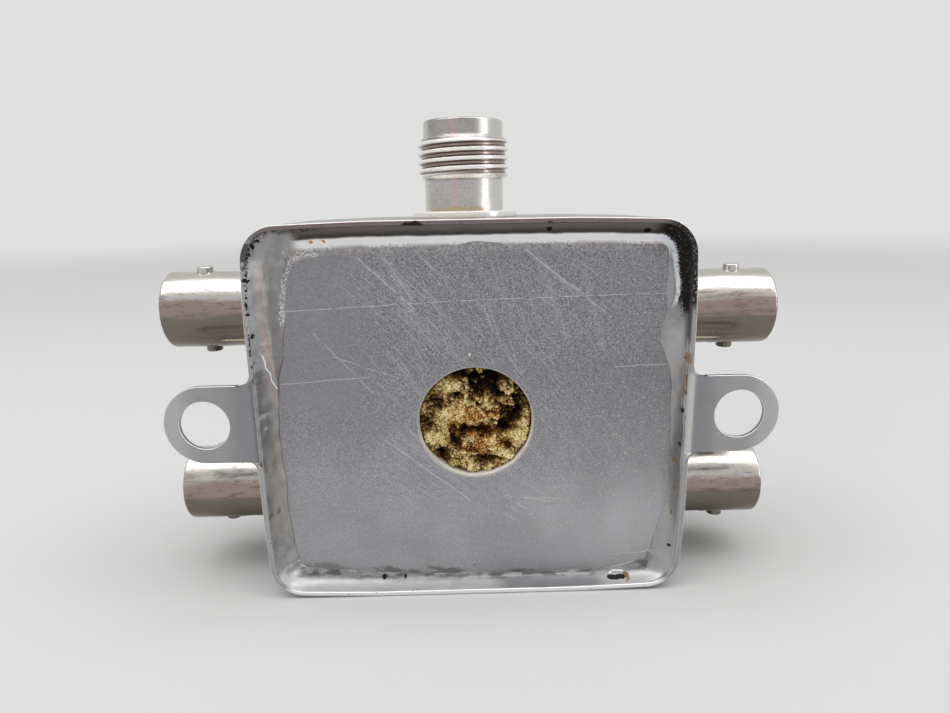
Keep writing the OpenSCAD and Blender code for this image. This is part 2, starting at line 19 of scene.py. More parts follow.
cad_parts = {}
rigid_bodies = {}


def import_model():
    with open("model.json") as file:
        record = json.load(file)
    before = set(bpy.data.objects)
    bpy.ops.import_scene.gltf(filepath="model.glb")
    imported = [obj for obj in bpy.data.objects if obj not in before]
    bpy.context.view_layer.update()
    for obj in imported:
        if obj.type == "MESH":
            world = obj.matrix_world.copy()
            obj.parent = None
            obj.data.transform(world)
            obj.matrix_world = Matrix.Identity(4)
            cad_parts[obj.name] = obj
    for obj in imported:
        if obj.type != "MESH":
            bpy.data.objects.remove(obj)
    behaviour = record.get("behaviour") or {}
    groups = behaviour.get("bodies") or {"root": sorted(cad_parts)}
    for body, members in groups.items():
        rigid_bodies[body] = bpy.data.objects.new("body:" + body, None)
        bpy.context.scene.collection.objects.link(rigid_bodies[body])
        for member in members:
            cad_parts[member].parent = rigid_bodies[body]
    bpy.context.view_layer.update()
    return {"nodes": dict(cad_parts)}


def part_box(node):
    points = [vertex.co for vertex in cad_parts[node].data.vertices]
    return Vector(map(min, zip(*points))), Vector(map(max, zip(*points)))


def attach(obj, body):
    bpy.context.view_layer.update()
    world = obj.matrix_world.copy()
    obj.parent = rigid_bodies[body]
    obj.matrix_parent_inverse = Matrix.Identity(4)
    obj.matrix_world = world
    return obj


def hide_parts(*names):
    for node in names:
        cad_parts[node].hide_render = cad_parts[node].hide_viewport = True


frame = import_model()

print("nodes in the frame:", len(frame["nodes"]))

# %% [markdown]
# ## Sizes that come from the frame
#
# Blender works in metres and this object is a few centimetres wide, so all sizes below are
# written in millimetres and turned to metres at the last moment, when a mesh is made. Most
# of them are read from the boxes of the CAD nodes. The few that no box can tell, such as
# the thickness of the sheet, repeat the values of the part's own source.

# %% Sizes of the case
MM = 0.001
BODY = "root"


def box_mm(node):
    """Lowest and highest corner of a CAD node, in millimetres."""
    low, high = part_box(node)
    return np.array(low) / MM, np.array(high) / MM


SHEET = 0.6
PLATE_GAP = 0.15
case_low, case_high = box_mm("case_shell")
plate_low, plate_high = box_mm("cover_plate")
FRONT, BACK = case_low[1], case_high[1]
PLATE_FRONT, PLATE_BACK = plate_low[1], plate_high[1]
HALF_W = plate_high[0] + PLATE_GAP + SHEET
HALF_H = case_high[2] / 2
MID_Z = HALF_H
print("case %.1f x %.1f mm" % (2 * HALF_W, 2 * HALF_H))
print("plate %.1f mm behind the rim" % (PLATE_FRONT - FRONT))

# %% Where the jacks are
JACKS = ["top_jack", "upper_left_jack", "lower_left_jack", "upper_right_jack", "lower_right_jack"]
FLANGE_R = 6.5


def jack_side(jack):
    """-1 on the left wall, 1 on the right wall and 0 on top."""
    return -1 if "left" in jack else 1 if "right" in jack else 0


def jack_axis(jack):
    """Middle of a jack's insulator, which lies on its axis."""
    low, high = box_mm(jack + "_insulator")
    return (low + high) / 2


def jack_length(jack):
    """Distance from the case wall to the mouth."""
    low, high = box_mm(jack + "_body")
    return high[2] - 2 * HALF_H if jack_side(jack) == 0 else max(high[0], -low[0]) - HALF_W


def jack_place(jack):
    """Moves a jack made along Z, with the wall at Z = 0, to its wall, in millimetres."""
    side, axis = jack_side(jack), jack_axis(jack)
    if side == 0:
        return Matrix.Translation((axis[0], axis[1], 2 * HALF_H))
    turn = Matrix.Rotation(side * math.pi / 2, 4, "Y")
    return Matrix.Translation((side * HALF_W, axis[1], axis[2])) @ turn


for jack in JACKS:
    print(jack, "axis", jack_axis(jack).round(2), "length %.2f" % jack_length(jack))

# %% [markdown]
# ## Camera
#
# The photograph was taken from very near, a little above the middle, with the camera turned
# by one degree about its own line of sight. Such a near camera shows the side jacks' outer
# sides and makes the case narrower towards the bottom, so its distance matters as much as
# its angle. Direction, roll and place are written out as three turned axes.

# %% Camera
NEAR_CLIP = 0.005
CAMERA_AT = Vector((-0.67, -82.39, 47.86)) * MM
CAMERA_DOWN = math.radians(13.48)
CAMERA_YAW = math.radians(0.80)
CAMERA_ROLL = math.radians(-1.05)
FOCAL_LENGTH = 24.243
SENSOR_WIDTH = 36


def camera_axes(down, yaw, roll):
    """Right, up and backward directions of a camera that looks along Y."""
    ahead = Vector((math.sin(yaw) * math.cos(down), math.cos(yaw) * math.cos(down), -math.sin(down)))
    right = ahead.cross(Vector((0, 0, 1))).normalized()
    up = right.cross(ahead)
    rolled_right = math.cos(roll) * right + math.sin(roll) * up
    rolled_up = -math.sin(roll) * right + math.cos(roll) * up
    return rolled_right, rolled_up, -ahead


def add_object(name, data):
    """A new object in the scene."""
    added = bpy.data.objects.new(name, data)
    bpy.context.scene.collection.objects.link(added)
    return added


lens = bpy.data.cameras.new("photo_camera")
lens.lens = FOCAL_LENGTH
lens.sensor_width = SENSOR_WIDTH
lens.clip_start = NEAR_CLIP
camera = add_object("photo_camera", lens)
axes = Matrix(camera_axes(CAMERA_DOWN, CAMERA_YAW, CAMERA_ROLL)).transposed()
camera.matrix_world = Matrix.Translation(CAMERA_AT) @ axes.to_4x4()
bpy.context.scene.camera = camera
bpy.context.scene.view_settings.view_transform = "Standard"
print("camera at", [round(v / MM, 1) for v in CAMERA_AT], "mm")

# %% [markdown]
# ## Nodes written as sums
#
# Shader trees and Geometry Nodes trees are wired in the same way, so the same few helpers
# serve both. A Value is a node's output that can be added or multiplied like a number. Each
# sign adds one Math node, so a mask reads like a formula. An effect that several finishes
# share becomes a node group with named sockets.

# %% Values
class Value:
    """A node's output. The signs + - * /, & (the smaller) and | (the larger) add Math nodes."""

    def __init__(self, socket):
        self.socket = socket
        self.tree = socket.id_data

    def math(self, operation, other=None):
        return reckon(self.tree, operation, self, other)

    def __add__(self, other):
        return self.math("ADD", other)

    def __sub__(self, other):
        return self.math("SUBTRACT", other)

    def __rsub__(self, other):
        return reckon(self.tree, "SUBTRACT", other, self)

    def __mul__(self, other):
        return self.math("MULTIPLY", other)

    def __truediv__(self, other):
        return self.math("DIVIDE", other)

    def __rtruediv__(self, other):
        return reckon(self.tree, "DIVIDE", other, self)

    def __and__(self, other):
        return self.math("MINIMUM", other)

    def __or__(self, other):
        return self.math("MAXIMUM", other)

    def __abs__(self):
        return self.math("ABSOLUTE")


def wire(socket, value):
    """Links a socket to a value of another node, or sets it to a plain value."""
    if isinstance(value, Value):
        socket.id_data.links.new(value.socket, socket)
    elif value is not None:
        socket.default_value = value


def place(tree, kind, inputs=(), **settings):
    """Adds a node, sets its settings and wires its inputs by name or number."""
    node = tree.nodes.new(kind)
    for name, value in settings.items():
        setattr(node, name, value)
    for name, value in dict(inputs).items():
        wire(node.inputs[name], value)
    return node


def out(node, output=0):
    """One output of a node as a Value."""
    return Value(node.outputs[output])


def reckon(tree, operation, a, b=None):
    """A Math node's result."""
    return out(place(tree, "ShaderNodeMath", {0: a, 1: b}, operation=operation))


# %% Helpers for vectors, masks and colours
def vectors(operation, a, b=None, scale=None):
    """A Vector Math node's result: a vector, or a number for lengths and dot products."""
    node = place(a.tree, "ShaderNodeVectorMath", {0: a, 1: b, 3: scale}, operation=operation)
    return out(node, "Value" if operation in ("LENGTH", "DOT_PRODUCT", "DISTANCE") else "Vector")


def stretch(position, factors):
    """A position multiplied along each axis."""
    return vectors("MULTIPLY", position, factors)


def flatten(position):
    """A position moved onto the plane Y = 0."""
    return stretch(position, (1, 0, 1))


def parts(vector):
    """The three numbers of a vector."""
    return [Value(socket) for socket in place(vector.tree, "ShaderNodeSeparateXYZ", {0: vector}).outputs]


def ease(value, low, high, start=0.0, end=1.0):
    """Runs smoothly from start to end while the value goes from low to high."""
    return out(place(value.tree, "ShaderNodeMapRange", {0: value, 1: low, 2: high, 3: start, 4: end},
                     interpolation_type="SMOOTHSTEP"))


def band(value, low, high, soft=0.08):
    """1 between two values, with soft ends."""
    return ease(value, low - soft, low + soft) * ease(value, high + soft, high - soft)


def blend(share, a, b, how="MIX"):
    """Mixes two colours. At least one of the three is a Value."""
    tree = next(given.tree for given in (share, a, b) if isinstance(given, Value))
    return out(place(tree, "ShaderNodeMix", {0: share, 6: a, 7: b}, data_type="RGBA", blend_type=how), 2)


def cloud(position, scale, detail=2.0, roughness=0.5):
    """A Noise Texture's value, from about 0.3 to 0.7."""
    return out(place(position.tree, "ShaderNodeTexNoise", {
        "Vector": position, "Scale": scale, "Detail": detail, "Roughness": roughness}))


def mottle(position, scale, low, high, detail=2.0, roughness=0.5):
    """Clouds as a mask: 0 where the noise is at low and 1 where it is at high."""
    return ease(cloud(position, scale, detail, roughness), low, high)


# %% Helpers for node groups
SOCKET_KINDS = {tuple: "Vector", float: "Float", int: "Int"}


def add_sockets(tree, in_out, sockets):
    """Adds named sockets. A default value tells a socket's kind, and a word names it."""
    for label, default in sockets.items():
        named = isinstance(default, str)
        kind = default if named else SOCKET_KINDS[type(default)]
        socket = tree.interface.new_socket(label, in_out=in_out, socket_type="NodeSocket" + kind)
        if not named:
            socket.default_value = default


def new_group(name, inputs, outputs, kind="ShaderNodeTree"):
    """A node group: its tree, a Value for each of its inputs, and the sockets of its outputs."""
    tree = bpy.data.node_groups.new(name, kind)
    add_sockets(tree, "INPUT", inputs)
    add_sockets(tree, "OUTPUT", outputs)
    given = {socket.name: Value(socket) for socket in place(tree, "NodeGroupInput").outputs if socket.name}
    return tree, given, place(tree, "NodeGroupOutput").inputs


def use_group(name, position, **inputs):
    """Places a node group and gives its outputs by name. An input's name is its socket's name."""
    node = place(position.tree, "ShaderNodeGroup", node_tree=bpy.data.node_groups[name])
    wire(node.inputs["Position"], position)
    for label, value in inputs.items():
        wire(node.inputs[label.capitalize()], value)
    return {socket.name: Value(socket) for socket in node.outputs}


print("node helpers ready")

# %% [markdown]
# ## Effects that several finishes share
#
# Old plated metal is never even. It has a fine grain, clouds of tarnish, stains with an
# uneven edge, small dark pits, fields of faint parallel scuffs and a few long single
# scratches. Each of these is a group that gives a mask between 0 and 1, or a height. All
# of them read the object's own coordinates in millimetres, so a size in a socket is a real
# size on the metal.

# %% Groups: coordinates in millimetres, stains and pits
ORIGIN = (0, 0, 0)


def millimetre_group():
    """The object's own coordinates in millimetres."""
    tree, _, outputs = new_group("millimetres", {}, {"Position": "Vector"})
    at = out(place(tree, "ShaderNodeTexCoord"), "Object")
    wire(outputs["Position"], vectors("SCALE", at, scale=1 / MM))


def patch_group():
    """A stain with an uneven edge, round a centre."""
    tree, given, outputs = new_group(
        "stain patch",
        {"Position": ORIGIN, "Centre": ORIGIN, "Reach": (1, 1, 1), "Unevenness": 0.5, "Grain": 1.0},
        {"Mask": "Float"})
    away = vectors("SUBTRACT", given["Position"], given["Centre"])
    share = vectors("LENGTH", vectors("DIVIDE", away, given["Reach"]))
    ragged = cloud(given["Position"], given["Grain"], 3.0, 0.6)
    edge = share + (ragged - 0.5) * given["Unevenness"] * 4.0
    wire(outputs["Mask"], ease(edge, 1.15, 0.75))


def pit_group():
    """Small scattered dark pits and specks."""
    tree, given, outputs = new_group(
        "pits", {"Position": ORIGIN, "Size": 0.3, "Amount": 0.3}, {"Mask": "Float"})
    speck = cloud(given["Position"], 1.0 / given["Size"], 2.0, 0.6)
    level = 0.80 - given["Amount"] * 0.35
    wire(outputs["Mask"], ease(speck, level, level + 0.05))


for build in (millimetre_group, patch_group, pit_group):
    build()
print("groups:", [group.name for group in bpy.data.node_groups])

# %% Groups: a field of parallel scuffs, one long scratch, the grain of a sheet
def scuff_group():
    """Faint parallel lines at one angle, inside a round region."""
    tree, given, outputs = new_group(
        "scuffs",
        {"Position": ORIGIN, "Turn": 0.0, "Fineness": 4.0, "Length": 8.0, "Amount": 0.5,
         "Centre": ORIGIN, "Reach": (10, 10, 10)},
        {"Mask": "Float"})
    turned_by = {"Vector": given["Position"], "Angle": given["Turn"]}
    laid = out(place(tree, "ShaderNodeVectorRotate", turned_by, rotation_type="Y_AXIS"))
    factors = out(place(tree, "ShaderNodeCombineXYZ",
                        {0: 1.0 / given["Length"], 1: 0.0, 2: given["Fineness"]}))
    lines = cloud(stretch(laid, factors), 1.0, 1.0)
    level = 0.78 - given["Amount"] * 0.3
    away = flatten(vectors("SUBTRACT", given["Position"], given["Centre"]))
    share = vectors("LENGTH", vectors("DIVIDE", away, given["Reach"]))
    wire(outputs["Mask"], ease(lines, level, level + 0.06) * ease(share, 1.0, 0.55))


def scratch_group():
    """One scratch between two points of a flat face, broken here and there."""
    tree, given, outputs = new_group(
        "scratch",
        {"Position": ORIGIN, "Start": ORIGIN, "End": (1, 0, 0), "Width": 0.1, "Broken": 0.3},
        {"Mask": "Float"})
    wobble = out(place(tree, "ShaderNodeTexNoise", {"Vector": given["Position"], "Scale": 0.25}), 1)
    shift = vectors("SCALE", vectors("SUBTRACT", wobble, (0.5, 0.5, 0.5)), scale=0.35)
    start = flatten(given["Start"])
    along = vectors("SUBTRACT", flatten(given["End"]), start)
    here = vectors("SUBTRACT", flatten(vectors("ADD", given["Position"], shift)), start)
    share = vectors("DOT_PRODUCT", here, along) / vectors("DOT_PRODUCT", along, along)
    share = out(place(tree, "ShaderNodeClamp", {0: share}))
    away = vectors("DISTANCE", here, vectors("SCALE", along, scale=share))
    line = ease(away, given["Width"], given["Width"] * 0.3)
    gaps = ease(cloud(given["Position"], 0.9), given["Broken"], given["Broken"] + 0.12)
    wire(outputs["Mask"], line * gaps)


def grain_group():
    """Fine grain and broad unevenness of a sheet, as a height."""
    tree, given, outputs = new_group(
        "sheet grain", {"Position": ORIGIN, "Fineness": 9.0, "Broad": 0.12},
        {"Height": "Float", "Tone": "Float"})
    fine = cloud(given["Position"], given["Fineness"], 3.0, 0.65)
    wire(outputs["Height"], fine * 0.25 + cloud(given["Position"], given["Broad"]))
    wire(outputs["Tone"], fine)


for build in (scuff_group, scratch_group, grain_group):
    build()
print("groups:", [group.name for group in bpy.data.node_groups])

# %% [markdown]
# ## Floor, sky and lamps
#
# The part stands on a plain pale floor. The floor is a disc whose far edge melts into the
# colour of the sky, so no horizon shows, while near the object it takes a real soft shadow.
# Metal shows whatever surrounds it, so the sky that the camera, the gloss and clear pieces
# see is pale, a broad lamp above gives the long highlights on the round jacks, and a slim
# one at the side gives the narrow stripe. The light on plain surfaces stays at the level at
# which a colour renders as it is written.

# %% Sky
PALE = (0.74, 0.74, 0.735, 1)
WHITE_LIGHT = (1, 1, 1, 1)
SKY_LIGHT = 0.42


def fresh_tree(owner):
    """The empty node tree of a world or a material."""
    owner.use_nodes = True
    owner.node_tree.nodes.clear()
    return owner.node_tree


def build_sky():
    world = bpy.data.worlds.new("pale_sky")
    bpy.context.scene.world = world
    tree = fresh_tree(world)
    ray = place(tree, "ShaderNodeLightPath")
    seen = out(ray, "Is Camera Ray") | out(ray, "Is Glossy Ray") | out(ray, "Is Transmission Ray")
    light = place(tree, "ShaderNodeBackground", {"Color": WHITE_LIGHT, "Strength": SKY_LIGHT})
    shown = place(tree, "ShaderNodeBackground", {"Color": PALE, "Strength": 1.0})
    mixed = place(tree, "ShaderNodeMixShader", {0: seen, 1: out(light), 2: out(shown)})
    place(tree, "ShaderNodeOutputWorld", {"Surface": out(mixed)})


build_sky()
print("sky light", SKY_LIGHT)

# %% Floor
FLOOR_R = 1.4
FLOOR_TONE = (0.72, 0.72, 0.715, 1)
FADE_FROM, FADE_TO = 0.22, 0.95
FLOOR_DROP = 0.00002


def floor_paint():
    """Matt near the object, and the colour of the sky far away."""
    paint = bpy.data.materials.new("pale_floor")
    tree = fresh_tree(paint)
    away = vectors("LENGTH", out(place(tree, "ShaderNodeTexCoord"), "Object"))
    matt = place(tree, "ShaderNodeBsdfDiffuse", {"Color": FLOOR_TONE})
    glow = place(tree, "ShaderNodeEmission", {"Color": PALE, "Strength": 1.0})
    mixed = place(tree, "ShaderNodeMixShader", {
        0: ease(away, FADE_FROM, FADE_TO), 1: out(matt), 2: out(glow)})
    place(tree, "ShaderNodeOutputMaterial", {"Surface": out(mixed)})
    return paint


def build_floor():
    mesh = bpy.data.meshes.new("floor")
    disc = bmesh.new()
    bmesh.ops.create_circle(disc, cap_ends=True, segments=128, radius=FLOOR_R)
    bmesh.ops.translate(disc, verts=disc.verts, vec=(0, 0, -FLOOR_DROP))
    disc.to_mesh(mesh)
    mesh.materials.append(floor_paint())
    floor = add_object("floor", mesh)


build_floor()
print("floor radius", FLOOR_R, "m")

# %% Lamps
LAMPS = [
    # Name, place in metres, width and depth in metres, power in watts
    ("overhead_softbox", (0.0, -0.10, 0.75), (1.60, 0.55), 5.8),
    ("left_fill", (-0.75, -0.55, 0.40), (0.50, 0.50), 1.0),
    ("right_strip", (0.52, -0.24, 0.24), (0.07, 0.44), 0.7),
]


def build_lamp(name, at, size, power):
    """A rectangular lamp that looks at the middle of the case."""
    lamp = bpy.data.lights.new(name, "AREA")
    lamp.shape = "RECTANGLE"
    lamp.size, lamp.size_y = size
    lamp.energy = power
    stand = add_object(name, lamp)
    aim = Vector((0, 0, MID_Z * MM)) - Vector(at)
    stand.matrix_world = Matrix.Translation(at) @ aim.to_track_quat("-Z", "Y").to_matrix().to_4x4()
    stand.visible_glossy = name != "left_fill"
    stand.visible_diffuse = name != "right_strip"


for lamp_values in LAMPS:
    build_lamp(*lamp_values)
print("lamps:", [values[0] for values in LAMPS])

# %% [markdown]
# ## From rings of points to a mesh
#
# Nearly every piece here is a skin over rings of points: the walls of the case, the solder
# run, the ears and all turned pieces. One helper joins rings of equal count with four-sided
# faces, and one turns points in millimetres into an object whose faces point outwards.

# %% Helpers for meshes
def skin(rings, closed=True, caps=()):
    """Points and faces of a skin over rings. Closed joins the last ring to the first, and
    caps lists the rings (0 and -1) that get a flat face."""
    count = len(rings[0])
    rows = len(rings)
    faces = []
    for row in range(rows if closed else rows - 1):
        here, after = row * count, (row + 1) % rows * count
        for i in range(count):
            j = (i + 1) % count
            faces.append((here + i, here + j, after + j, after + i))
    for cap in caps:
        start = (rows - 1) * count if cap else 0
        faces.append(tuple(range(start, start + count)))
    return np.concatenate(rings), faces


def make_piece(name, shells, sharp=40):
    """An object from (points, faces) shells in millimetres. Edges sharper than so many degrees
    stay sharp, and the rest is smooth."""
    points, faces, first = [], [], 0
    for shell_points, shell_faces in shells:
        points.append(np.asarray(shell_points, float))
        faces += [tuple(i + first for i in face) for face in shell_faces]
        first += len(shell_points)
    mesh = bpy.data.meshes.new(name)
    mesh.from_pydata((np.concatenate(points) * MM).tolist(), [], faces)
    whole = bmesh.new()
    whole.from_mesh(mesh)
    bmesh.ops.recalc_face_normals(whole, faces=whole.faces)
    whole.to_mesh(mesh)
    mesh.shade_smooth()
    mesh.set_sharp_from_angle(angle=math.radians(sharp))
    return add_object(name, mesh)


def keep_values(piece, name, values):
    """Stores a number at each point of a piece, for its finish to read."""
    attribute = piece.data.attributes.new(name, "FLOAT", "POINT")
    attribute.data.foreach_set("value", np.asarray(values, np.float32))


def finish_piece(piece, material, slot, *nodes):
    """Gives a piece its finish and puts it in the place of its CAD nodes."""
    piece.data.materials.clear()
    piece.data.materials.append(bpy.data.materials[material])
    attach(piece, BODY)
    if nodes:
        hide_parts(*nodes)
    print(piece.name, len(piece.data.polygons), "faces, finish", material)


def ripple(points, size, amount, seed=0.0):
    """Smooth noise at each point: size is the length of a wave and amount its height."""
    offset = Vector((seed * 7.3, seed * 3.1, seed * 5.7))
    return amount * np.array([noise.noise(Vector(p) / size + offset) for p in points])


def smooth(share):
    """A share from 0 to 1 that starts and ends gently."""
    return share * share * (3 - 2 * share)


print("mesh helpers ready")

# %% [markdown]
# ## Outline of the case
#
# Seen from the front the case is a rounded rectangle whose walls are flat in the middle and
# fall away a little towards the corners. Every ring of the case, the plate and the solder
# uses the same samples of this outline, only moved inwards, so their faces line up. The
# samples lie closer together where the ears leave the side walls.

# %% Samples round the outline
CORNER_R = 3.8
WALL_BOW = 0.45
WALL_FLAT = 24.0
EAR_W, EAR_ROOT_R = 9.5, 1.5
EAR_ROOT = EAR_W / 2 + EAR_ROOT_R
STEP = 0.45
above_ear = np.linspace(EAR_W / 2, EAR_ROOT, 13)
ear_places = np.concatenate([above_ear, -above_ear])


def wall_places(half, extra=()):
    """Sample places along a straight wall."""
    even = np.linspace(-half, half, round(2 * half / STEP) + 1)
    return np.unique(np.concatenate([even, extra]).round(4))


def outline_samples():
    """Base points of the outline about its middle, and their outward directions."""
    across, upright = HALF_W - CORNER_R, HALF_H - CORNER_R
    side_z, top_x = wall_places(upright, ear_places), wall_places(across)
    walls = [
        [((HALF_W, z), (1, 0)) for z in side_z],
        [((x, HALF_H), (0, 1)) for x in top_x[::-1]],
        [((-HALF_W, z), (-1, 0)) for z in side_z[::-1]],
        [((x, -HALF_H), (0, -1)) for x in top_x],
    ]
    corners = [(1, 1, 0), (-1, 1, 90), (-1, -1, 180), (1, -1, 270)]
    samples = []
    for wall, (side_x, side_z_sign, start) in zip(walls, corners):
        samples += wall
        for turn in np.radians(start + np.arange(6, 90, 6)):
            away = np.array([math.cos(turn), math.sin(turn)])
            centre = np.array([side_x * across, side_z_sign * upright])
            samples.append((tuple(centre + CORNER_R * away), tuple(away)))
    return np.array([s[0] for s in samples]), np.array([s[1] for s in samples])


outline, outward = outline_samples()
print("outline samples:", len(outline))

# %% The bowed walls and their pressed seats
SEAT_R, SEAT_FADE_R = 6.55, 7.8
side_jacks = [(jack_side(jack), jack_axis(jack)) for jack in JACKS[1:]]
top_axis = jack_axis("top_jack")


def bowed(flat_points):
    """The outline's walls fall away towards the corners."""
    x, z = flat_points[:, 0], flat_points[:, 1]
    flat = (WALL_FLAT / 2) ** 2
    fall_x = WALL_BOW * np.clip((z**2 - flat) / (HALF_H**2 - flat), 0, None)
    fall_z = WALL_BOW * np.clip((x**2 - flat) / (HALF_W**2 - flat), 0, None)
    return x * (1 - fall_x / HALF_W), z * (1 - fall_z / HALF_H)


def seat_share(away):
    """1 on the flat seat under a jack's flange, running out to 0 round it."""
    return smooth(np.clip((SEAT_FADE_R - away) / (SEAT_FADE_R - SEAT_R), 0, 1))


def wall_ring(inset, depth, seats=False):
    """One ring of the outline, moved inwards, at a depth. Seats presses the flats of the jacks."""
    x, z = bowed(outline - outward * inset)
    y = np.full_like(x, float(depth))
    if seats:
        for side, axis in side_jacks:
            share = seat_share(np.hypot(y - axis[1], z + MID_Z - axis[2])) * (outward[:, 0] == side)
            x = x + share * (side * (HALF_W - inset) - x)
        share = seat_share(np.hypot(y - top_axis[1], x - top_axis[0])) * (outward[:, 1] == 1)
        z = z + share * (HALF_H - inset - z)
    return np.stack([x, y, z + MID_Z], axis=1)


corner_start = len(wall_places(HALF_H - CORNER_R, ear_places))
print("corner of the rim at", wall_ring(0, FRONT)[corner_start].round(2))

# %% [markdown]
# ## Case shell
#
# The shell is one drawn sheet: walls, back and two ears. The last stretch of each side wall
# bends outwards and becomes an ear. Beside the ear this bend runs out to nothing within the
# fillet at its root, as a formed sheet does. To get that, each sample near the ear mixes
# two courses of the sheet, straight on to the rim or round the bend, by how far the fillet
# lets it reach.

# %% The bend into the ears
EAR_BEND_R = 0.8
EAR_BACK = FRONT + SHEET
BEND_Y = EAR_BACK + EAR_BEND_R
BEND_X = HALF_W + EAR_BEND_R
EAR_START = HALF_W + EAR_ROOT_R
ARC_SHARE = 0.7


def ear_reach_share():
    """How far each sample follows the bend: 1 across the ear, 0 beyond its root fillet."""
    height = np.abs(outline[:, 1])
    rest = np.clip(EAR_ROOT - height, 0, EAR_ROOT_R)
    share = (EAR_ROOT_R - np.sqrt(EAR_ROOT_R**2 - rest**2)) / EAR_ROOT_R
    return np.where(outward[:, 1] == 0, share, 0)


def bend_course(run, inset):
    """Where the bent sheet is after a share of its run, for the face at an inset."""
    turn = np.clip(run / ARC_SHARE, 0, 1) * math.pi / 2
    flat = np.clip((run - ARC_SHARE) / (1 - ARC_SHARE), 0, 1)
    radius = EAR_BEND_R + inset
    x = BEND_X - radius * math.cos(turn) + flat * (EAR_START - BEND_X)
    return x, BEND_Y - radius * math.sin(turn)


def shell_ring(inset, depth):
    """A ring of the shell: a wall ring whose samples at the ears follow the bend."""
    ring = wall_ring(inset, depth, seats=True)
    if depth < BEND_Y:
        run = (BEND_Y - depth) / (BEND_Y - FRONT)
        x, y = bend_course(run, inset)
        share = ear_reach_share()
        ring[:, 0] += share * (outward[:, 0] * x - ring[:, 0])
        ring[:, 1] += share * (y - ring[:, 1])
    return ring


print("bend from y = %.1f mm to the ear at x = %.2f mm" % (BEND_Y, EAR_START))

# %% Rings of the shell
BACK_R = 2.0
RIM_ROUND = 0.12
RIM_END = SHEET / RIM_ROUND
RIM_CUT = [(0, 1), (0.3, 0.3), (1, 0), (RIM_END - 1, 0), (RIM_END - 0.3, 0.3), (RIM_END, 1)]
FULL_EAR = 0.999
BEND_STEPS = 12
WALL_STEPS = 26


def rim_ring(inset_share, depth_share):
    """A ring of the sheet's cut front edge, rounded except where the ear goes on."""
    inset, depth = inset_share * RIM_ROUND, FRONT + depth_share * RIM_ROUND
    ring = shell_ring(inset, depth)
    square = shell_ring(0 if inset < SHEET / 2 else SHEET, FRONT + 0.0002 * (1 + inset_share))
    ear = ear_reach_share() >= FULL_EAR
    ring[ear] = square[ear]
    return ring


def side_rings(inset, back_radius, back):
    """Rings of one face of the sheet, from behind the rim to the back wall."""
    depths = list(np.linspace(FRONT + 1.6 * RIM_ROUND, BEND_Y, BEND_STEPS))
    depths += list(np.linspace(BEND_Y, back - back_radius, WALL_STEPS))[1:]
    rings = [shell_ring(inset, depth) for depth in depths]
    for turn in np.radians(np.arange(10, 91, 10)):
        rings.append(shell_ring(inset + back_radius * (1 - math.cos(turn)),
                                back - back_radius + back_radius * math.sin(turn)))
    return rings


outer_rings = side_rings(0, BACK_R, BACK)
inner_rings = side_rings(SHEET, BACK_R - SHEET, BACK - SHEET)
cut_rings = [rim_ring(*share) for share in RIM_CUT]
shell = skin(outer_rings[::-1] + cut_rings + inner_rings, closed=False, caps=(0, -1))
print("shell rings:", len(outer_rings) + len(cut_rings) + len(inner_rings))

# %% The flat of each ear
EAR_REACH = 5.7
EAR_X = HALF_W + EAR_REACH
EAR_HOLE_R = 2.9
EAR_EDGE = 0.12
EAR_TURNS = 144
HIGHLIGHT_RINGS = (1, 4)
EAR_PROFILE = [
    # Hole or outer edge (0 or 1), how far the edge is rounded off, depth from front or back
    (0, 0, 1), (0, 0.3, 0.3), (0, 1, 0), (1, 1, 0), (1, 0.3, 0.3), (1, 0, 1),
]


def ear_shell(side):
    """A flat ring of sheet round the ear's hole: half of it round, half running to the bend."""
    root = EAR_X - EAR_START
    corner = math.atan2(EAR_W / 2, -root)
    straight = np.linspace(corner, 2 * math.pi - corner, 24)[1:-1]
    turns = np.concatenate([np.linspace(-corner, corner, EAR_TURNS), straight])
    cosine, sine = np.cos(turns), np.sin(turns)
    reach_back = root / np.maximum(-cosine, 1e-6)
    reach_up = (EAR_W / 2) / np.maximum(np.abs(sine), 1e-6)
    edge = np.where(cosine >= 0, EAR_W / 2, np.minimum(reach_back, reach_up))
    free = np.where((cosine < 0) & (reach_back < reach_up + 1e-6), 0.02, 1.0)
    profile = [(outer, off, FRONT + depth * EAR_EDGE) for outer, off, depth in EAR_PROFILE]
    profile += [(outer, off, EAR_BACK - depth * EAR_EDGE) for outer, off, depth in EAR_PROFILE[::-1]]
    rings = []
    for outer, off, y in profile:
        away = edge - free * off * EAR_EDGE if outer else EAR_HOLE_R + off * EAR_EDGE
        x = side * (EAR_X + away * cosine)
        rings.append(np.stack([x, np.full_like(turns, y), MID_Z + away * sine], axis=1))
    return skin(rings)


case_sheet = make_piece("case_sheet", [shell, ear_shell(-1), ear_shell(1)], sharp=50)
insets = [0.0] * len(outer_rings) + [share[0] * RIM_ROUND for share in RIM_CUT] + [SHEET] * len(inner_rings)
ear_points = (len(case_sheet.data.vertices) - len(insets) * len(outline)) // 2
shell_insets = np.repeat(insets, len(outline))
keep_values(case_sheet, "inset", np.concatenate([shell_insets, np.zeros(2 * ear_points)]))
# Rings of the rim's rounded edge and of the ears' edges are flagged for a painted highlight.
lips = [0.0] * len(outer_rings) + [1.0, 1.0] + [0.0] * (len(RIM_CUT) - 2 + len(inner_rings))
ear_rings = 2 * len(EAR_PROFILE)
ear_lips = np.repeat(np.isin(np.arange(ear_rings), HIGHLIGHT_RINGS).astype(float), ear_points // ear_rings)
keep_values(case_sheet, "lip", np.concatenate([np.repeat(lips, len(outline)), ear_lips, ear_lips]))
print("case and ears:", len(case_sheet.data.polygons), "faces")

# %% [markdown]
# ## Cover plate
#
# The plate is flat and a little smaller than the opening, with a round hole whose front edge
# is slightly broken. Since the hole lies well inside, each sample of the outline has one
# point on the hole in the same direction, and the face between them is a ring of quads.

